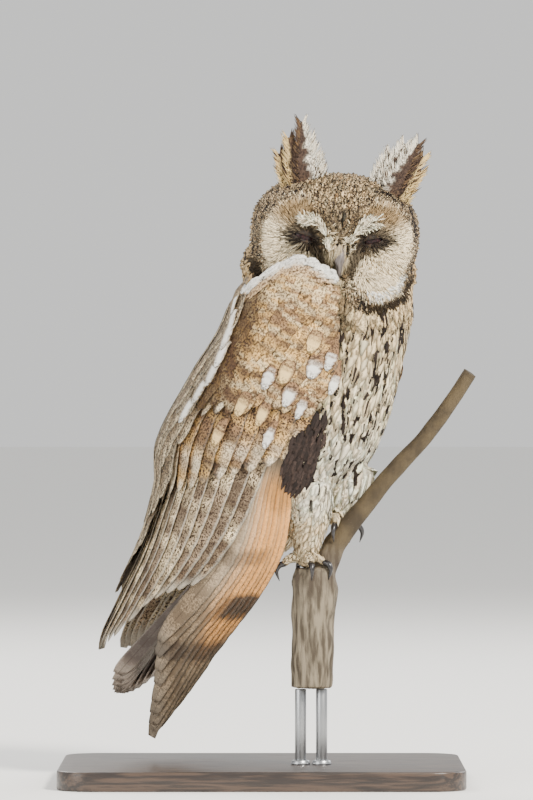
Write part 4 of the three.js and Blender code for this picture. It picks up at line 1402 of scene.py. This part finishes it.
# The face. Stiff hair-like feathers spread from each eye into a disc, cream outside, brown above
# the eye and dark beside the bill, inside a rim of short speckled feathers.
DISC_MIDDLE = (0.023, -0.004)
DISC_HALF = (0.0215, 0.026)
FACE_CREAM = paint(250, 233, 198)
FACE_BROWN = paint(132, 100, 54)
FACE_DARK = paint(54, 42, 26)
BROW_CREAM = paint(246, 234, 206)
CHIN = paint(206, 188, 152)
BROW_LINE = stations([
    (0, 0.0045, -0.0083), (0.55, 0.0140, 0.0085), (0.85, 0.0195, 0.0118), (1, 0.0235, 0.0110),
])
DARK_LINE = stations([(0, 0.0175, -0.0005), (0.5, 0.0115, -0.0075), (1, 0.0065, -0.0185)])


def line_distance(line, x, z):
    """How far places on the face lie from a line drawn on it."""
    shares = np.linspace(0, 1, 24)
    xs, zs = line(shares)
    return np.min(np.hypot(x[..., None] - xs, z[..., None] - zs), axis=-1)


def disc_ring(x, z):
    """0 in the middle of a disc and 1 at its rim, for places on the face."""
    return np.hypot((np.abs(x) - DISC_MIDDLE[0]) / DISC_HALF[0], (z - DISC_MIDDLE[1]) / DISC_HALF[1])


def face_tone(points):
    x, y, z = head_place(points)
    side = np.abs(x)
    chin = blend(0.012, 0.004, side) + blend(-0.02, -0.03, z) * 0.3 * (side < 0.02)
    tone = mixed(FACE_CREAM, CHIN, chin)
    brown = np.hypot((side - 0.023) / 0.0165, (z - 0.0115) / 0.0085)
    tone = mixed(tone, FACE_BROWN, blend(1.25, 0.45, brown) * 0.85)
    dark = line_distance(DARK_LINE, side, z)
    tone = mixed(tone, FACE_DARK, blend(0.0058, 0.0024, dark) * 0.92)
    lash = np.hypot((side - 0.0205) / 0.0096, (z - 0.0008) / 0.0050)
    tone = mixed(tone, FACE_DARK, blend(1.25, 0.75, lash) * 0.9)
    slit = np.hypot((side - EYE_APART) / 0.0085, (z + 0.0005) / 0.0024)
    return mixed(tone, paint(24, 17, 12), blend(1.2, 0.8, slit) * 0.95)


def disc_wanted(middles):
    x, y, z = head_place(middles)
    inside = (disc_ring(x, z) < 1.04) | ((np.abs(x) < 0.012) & (z < 0.002) & (z > -0.028))
    wedge = (np.abs(x) < 0.003 + 0.42 * np.maximum(z + 0.008, 0)) & (z > -0.006)
    bill = (np.abs(x) < 0.0035) & (z > -0.022) & (z < -0.004)
    eye = np.hypot((np.abs(x) - EYE_APART) / 0.0062, z / 0.0022) < 1
    return (y < -0.018) * inside * ~wedge * ~bill * ~eye * 1.0


def disc_lie(points, normals):
    x, y, z = head_place(points)
    side = np.where(x < 0, -1.0, 1.0)
    ways = np.stack([x - side * EYE_APART * 0.9, np.zeros_like(x), z - 0.0005], axis=-1)
    lower = blend(0.014, 0.006, np.abs(x))[..., None] * blend(0.0, -0.006, z)[..., None]
    ways = unit(ways) * (1 - lower) + np.array([0.0, 0.0, -1.0]) * lower
    return laid(ways @ head_turn.T, normals)


def disc_paint(points, draw):
    tone = face_tone(points) * np.exp(draw.normal(scale=0.1, size=(len(points), 1)))
    return painted(tone, SOFT_INK, mottle=0.12)


face_surface = Surface(skin, *lid_pieces)
coat(
    "disc_hairs", spacing=0.00125, wanted=disc_wanted, seed=51, paint_of=disc_paint, lie_of=disc_lie,
    length=constant(0.0085), width=constant(0.0010), rows=5, wander=0.08, surface=face_surface,
    heights=([0, 0.3, 1], [-0.0003, 0.0010, 0.0017]),
)


def rim_wanted(middles):
    x, y, z = head_place(middles)
    ring = disc_ring(x, z)
    return (y < -0.004) * (ring > 0.94) * (ring < 1.36) * (np.abs(x) > 0.008) * 1.0


def rim_lie(points, normals):
    x, y, z = head_place(points)
    ways = [x - np.sign(x) * DISC_MIDDLE[0], np.full_like(x, 0.012), z - DISC_MIDDLE[1]]
    return laid(np.stack(ways, axis=-1) @ head_turn.T, normals)


def rim_paint(points, draw):
    """Speckled, with a dark line low down on both sides and a white one inside it on the left."""
    x, y, z = head_place(points)
    ring = disc_ring(x, z)
    right_low = blend(-0.012, -0.018, z) * blend(-0.034, -0.026, z) * (x < -0.012)
    left_low = blend(-0.016, -0.022, z) * (x > 0.018)
    white = left_low * blend(1.12, 1.04, ring)
    dark = np.clip(left_low * blend(1.12, 1.16, ring) + right_low * blend(1.02, 1.1, ring), 0, 1)
    tone = varied(draw, paint(196, 172, 136), len(points), 0.3)
    plain = 1 - np.maximum(white, dark)
    tone = mixed(mixed(tone, MILK, white), FACE_DARK, dark)
    return painted(tone, INK, streak=0.5 * plain, mottle=plain)


coat(
    "disc_rim", spacing=0.0016, wanted=rim_wanted, seed=53, paint_of=rim_paint, lie_of=rim_lie,
    length=constant(0.0056), width=constant(0.0023), rows=4,
    heights=([0, 0.4, 1], [-0.0003, 0.0012, 0.0022]),
)


def crown_wanted(middles):
    x, y, z = head_place(middles)
    wedge = (np.abs(x) < 0.004 + 0.45 * np.maximum(z + 0.008, 0)) & (z > -0.008) & (y < 0)
    behind = (y > -0.006) | (disc_ring(x, z) > 1.3)
    return (z > -0.042) * (wedge | behind) * 1.0


def crown_paint(points, draw):
    x, y, z = head_place(points)
    cheek = blend(0.012, -0.016, z)
    tone = varied(draw, paint(190, 170, 136), len(points), 0.3)
    tone = towards(tone, cheek, draw, paint(214, 190, 148), 0.16)
    tone = towards(tone, 0.55 * blend(-0.024, -0.042, z), draw, CREAM, 0.12)
    tone = towards(tone, 0.5 * blend(0.0, 0.02, y), draw, NAPE, 0.14)
    wedge = blend(0.018, 0.010, z) * (y < -0.02) * blend(0.014, 0.009, np.abs(x))
    tone = tone * (1 - 0.62 * wedge)[:, None] * np.array([1.04, 0.97, 0.88])
    return painted(tone, INK, 0.05 + 0.3 * cheek, 0.1 * cheek, mottle=0.98 - 0.4 * cheek)


coat(
    "crown_feathers", spacing=0.0022, wanted=crown_wanted, seed=55, paint_of=crown_paint,
    length=graded(0.0075, 0.006, 0.01, -0.03, head_up), width=graded(0.0029, 0.0024, 0.01, -0.03, head_up),
    rows=5, heights=([0, 0.4, 1], [-0.0006, 0.0016, 0.0030]),
)


# The pale brows: a raised ridge of loose feathers from beside the bill up and out over each eye,
# and the bristles that lean over the sides of the bill.
BROW_FEATHERS = 230
BRISTLES = 340


def brow_feathers(name, side, seed):
    draw = np.random.default_rng(seed)
    share = np.sort(draw.uniform(size=BROW_FEATHERS))
    x, z = BROW_LINE(share)
    to_x, to_z = BROW_LINE(np.clip(share + 0.04, 0, 1))
    x = x + draw.normal(scale=0.0006, size=BROW_FEATHERS)
    z = z + draw.normal(scale=0.0006, size=BROW_FEATHERS)
    roots = on_head(side * x, -0.045, z)
    aim = np.stack([side * (to_x - x + 0.0004), 0 * x, to_z - z + 0.0009 * (1 - share)], axis=-1)
    aim = unit(aim) @ head_turn.T
    lengths = draw.uniform(0.005, 0.0075, BROW_FEATHERS)
    rows = np.linspace(0, 1, 6)
    rises = [height * draw.uniform(0.7, 1.3, BROW_FEATHERS)
             for height in np.interp(rows, [0, 0.4, 1], [0.0, 0.0026, 0.0042])]

    def brow_lie(points, normals):
        return laid(aim, normals)

    line, normal = traced(
        roots, brow_lie, lengths, rows, rises, wander=0.12, seed=seed, surface=face_surface
    )
    half = 0.0009 / 2 * vane_profile(rows, 0.6, 0.4, 1.6) * np.ones((BROW_FEATHERS, 1))
    tone = varied(draw, BROW_CREAM, BROW_FEATHERS, 0.14)
    tone = np.where(draw.uniform(size=(BROW_FEATHERS, 1)) < 0.22, tone * 0.3, tone)
    feather_mesh(name, line, normal, half, 3, painted(tone, SOFT_INK), "plumage")


def bent_barbs(start, lean, reach, bend, steps=6):
    """Thin lines from their starts along their leans, bent a little towards one way."""
    share = np.linspace(0, 1, steps)[None, :, None]
    reach = reach[:, None, None]
    line = start[:, None] + lean[:, None] * reach * share
    return line + np.array(bend) @ head_turn.T * reach * share**2


def bristles(name, side, seed):
    draw = np.random.default_rng(seed)
    share = draw.uniform(size=BRISTLES)
    x = between(0.0010, 0.0085, draw.uniform(size=BRISTLES)) + 0.002 * share
    start, _ = face_surface.nearest(on_head(side * x, -0.05, between(-0.001, -0.018, share)))
    reach = draw.uniform(0.007, 0.011, BRISTLES)
    lean = np.stack([-side * x * 0.35 / 0.006, 0 * x - 0.7, 0 * x - 1.0], axis=-1)
    lean = unit(lean + draw.normal(scale=0.12, size=(BRISTLES, 3))) @ head_turn.T
    line = bent_barbs(start, lean, reach, [0, 0.45, -0.35])
    facing = np.broadcast_to(np.array([side * 0.4, -1.0, 0.1]) @ head_turn.T, line.shape)
    half = 0.0008 / 2 * vane_profile(np.linspace(0, 1, 6), 0.7, 0.3, 1.3) * np.ones((BRISTLES, 1))
    tone = varied(draw, paint(190, 174, 142), BRISTLES, 0.22)
    feather_mesh(name, line, facing, half, 3, painted(tone, FACE_DARK, mottle=0.25), "plumage")


for number, (name, side) in enumerate(SIDES.items()):
    brow_feathers(f"brow_{name}", side, 61 + number)
    bristles(f"bristles_{name}", side, 63 + number)


# The ear tufts: a few long feathers on each side of the forehead, dark in the middle, with a
# white or buff fringe of loose barbs along their edges.
TUFT_DARK = paint(70, 54, 44)
TUFT_WHITE = paint(232, 224, 206)
TUFT_BUFF = paint(210, 182, 128)
TUFT_DEEP = -0.013
TUFT_ROWS = 22
EDGE_BARBS = 210
tuft_tints = {"white": TUFT_WHITE, "buff": TUFT_BUFF, "none": UMBER}
tuft_feathers = {
    "right": [
        # root, tip, width, colour of the inner fringe and of the outer fringe
        ((-0.0195, 0.021), (-0.0262, 0.0690), 0.0165, "white", "none"),
        ((-0.0235, 0.020), (-0.0335, 0.0585), 0.0140, "none", "buff"),
        ((-0.0160, 0.022), (-0.0200, 0.0590), 0.0135, "white", "white"),
        ((-0.0265, 0.018), (-0.0385, 0.0480), 0.0120, "none", "buff"),
        ((-0.0125, 0.023), (-0.0145, 0.0470), 0.0105, "white", "white"),
    ],
    "left": [
        ((0.0270, 0.019), (0.0470, 0.0600), 0.0150, "white", "none"),
        ((0.0300, 0.017), (0.0505, 0.0520), 0.0135, "none", "buff"),
        ((0.0235, 0.021), (0.0385, 0.0590), 0.0130, "white", "white"),
        ((0.0320, 0.014), (0.0500, 0.0430), 0.0120, "none", "buff"),
        ((0.0200, 0.023), (0.0300, 0.0520), 0.0105, "white", "white"),
    ],
}
for seed, (name, side) in enumerate(SIDES.items(), start=71):
    draw = np.random.default_rng(seed)
    roots, tips, widths, *fringes = zip(*tuft_feathers[name])
    roots, tips = np.array(roots), np.array(tips)
    fringes = list(zip(*fringes))
    count = len(roots)
    rows = np.linspace(0, 1, TUFT_ROWS)
    x, z = (between(roots[:, k:k + 1], tips[:, k:k + 1], rows) for k in (0, 1))
    y = TUFT_DEEP + np.arange(count)[:, None] * 0.0013 + 0.004 * rows**2 - 0.002
    line = on_head(x, y, z + 0.0015 * np.sin(math.pi * rows))
    facing = np.broadcast_to(np.array([0.0, -1.0, 0.0]) @ head_turn.T, line.shape)
    half = np.array(widths)[:, None] / 2 * vane_profile(rows, 0.6, 0.35, 1.2)
    half = half * draw.normal(1, 0.03, (count, TUFT_ROWS)) * (1 - 0.7 * rows**3)
    tone = np.ones((count, TUFT_ROWS, 9, 1)) * np.array(TUFT_DARK[:3])
    # The right tuft's inner edge is to the viewer's right, and the left tuft's to the left.
    inner = -side * np.linspace(-1, 1, 9)
    for i, pair in enumerate(fringes):
        for fringe, place in zip(pair, (inner, -inner)):
            if fringe != "none":
                ragged = 0.16 * draw.normal(size=(TUFT_ROWS, 1)) + 0.1 * np.sin(rows[:, None] * 40 + i)
                share = blend(0.15, 0.6, place + ragged) * blend(0.0, 0.2, rows)[:, None]
                tone[i] = mixed(tone[i], tuft_tints[fringe], share)
    tone = mixed(tone, CHESTNUT, 0.6 * blend(0.35, 0.0, rows)[:, None])
    tone = tone * np.exp(draw.normal(scale=0.12, size=(count, TUFT_ROWS, 9)))[..., None]
    paints = painted(tone, paint(40, 29, 24), mottle=0.85, shaft=0.6)
    feather_mesh(f"tuft_{name}", line, facing, half, 9, paints, "tuft_feathers", f"ear_tuft_{name}",
                 thick=0.0006, arch=0.12, own_cells=True)
    starts, leans, tints = [], [], []
    for i, pair in enumerate(fringes):
        for fringe, edge in zip(pair, (-side, side)):
            share = draw.uniform(0.22, 0.98, EDGE_BARBS)
            on_shaft = np.stack([np.interp(share, rows, line[i, :, k]) for k in range(3)], axis=-1)
            shaft = unit(line[i, -1] - line[i, 0])
            aside = unit(np.cross(shaft, facing[i, 0])) * edge
            out = np.interp(share, rows, half[i]) * draw.uniform(0.0, 0.85, EDGE_BARBS)
            starts.append(on_shaft + aside * out[:, None])
            leans.append(unit(aside * 0.7 + shaft * draw.uniform(0.8, 1.7, EDGE_BARBS)[:, None]))
            tint = varied(draw, tuft_tints[fringe], EDGE_BARBS, 0.14)
            dark_barb = draw.uniform(size=(EDGE_BARBS, 1)) < (0.7 if fringe == "none" else 0.16)
            tints.append(np.where(dark_barb, varied(draw, TUFT_DARK, EDGE_BARBS, 0.2), tint))
    start, lean, tint = (np.concatenate(part) for part in (starts, leans, tints))
    barb = bent_barbs(start, lean, draw.uniform(0.0025, 0.0070, len(start)), [0, 0.25, 0.15], 5)
    half = 0.00055 / 2 * vane_profile(np.linspace(0, 1, 5), 0.8, 0.3, 1.4) * np.ones((len(start), 1))
    feather_mesh(f"tuft_fringe_{name}", barb, np.broadcast_to(facing[0, 0], barb.shape), half, 3,
                 painted(tint, SOFT_INK), "tuft_feathers")


# The skin is coloured like the feathers over it, darkened to a half to four fifths of their brightness
# as painted shade in the gaps between them, so that no gap between them shows pale.
skin_points = skin_surface.points
x, y, z = head_place(skin_points)
quiet = np.random.default_rng(81)
# Painted shade: the feather colours are darkened for the skin that shows in the gaps between feathers.
stain = region_paint(skin_points, quiet)["tone"] * 0.55
stain = mixed(stain, crown_paint(skin_points, quiet)["tone"] * 0.5, blend(-0.042, -0.03, z))
face = blend(-0.012, -0.022, y) * blend(1.1, 1.0, disc_ring(x, z))
stain = mixed(stain, face_tone(skin_points) * 0.8, face)
stain = mixed(stain, np.array(CHESTNUT[:3]) * 0.6, under_wing(skin_points))
layer = skin.data.attributes.new("tone", "FLOAT_COLOR", "POINT")
layer.data.foreach_set("color", np.column_stack([stain, np.ones(len(stain))]).reshape(-1))
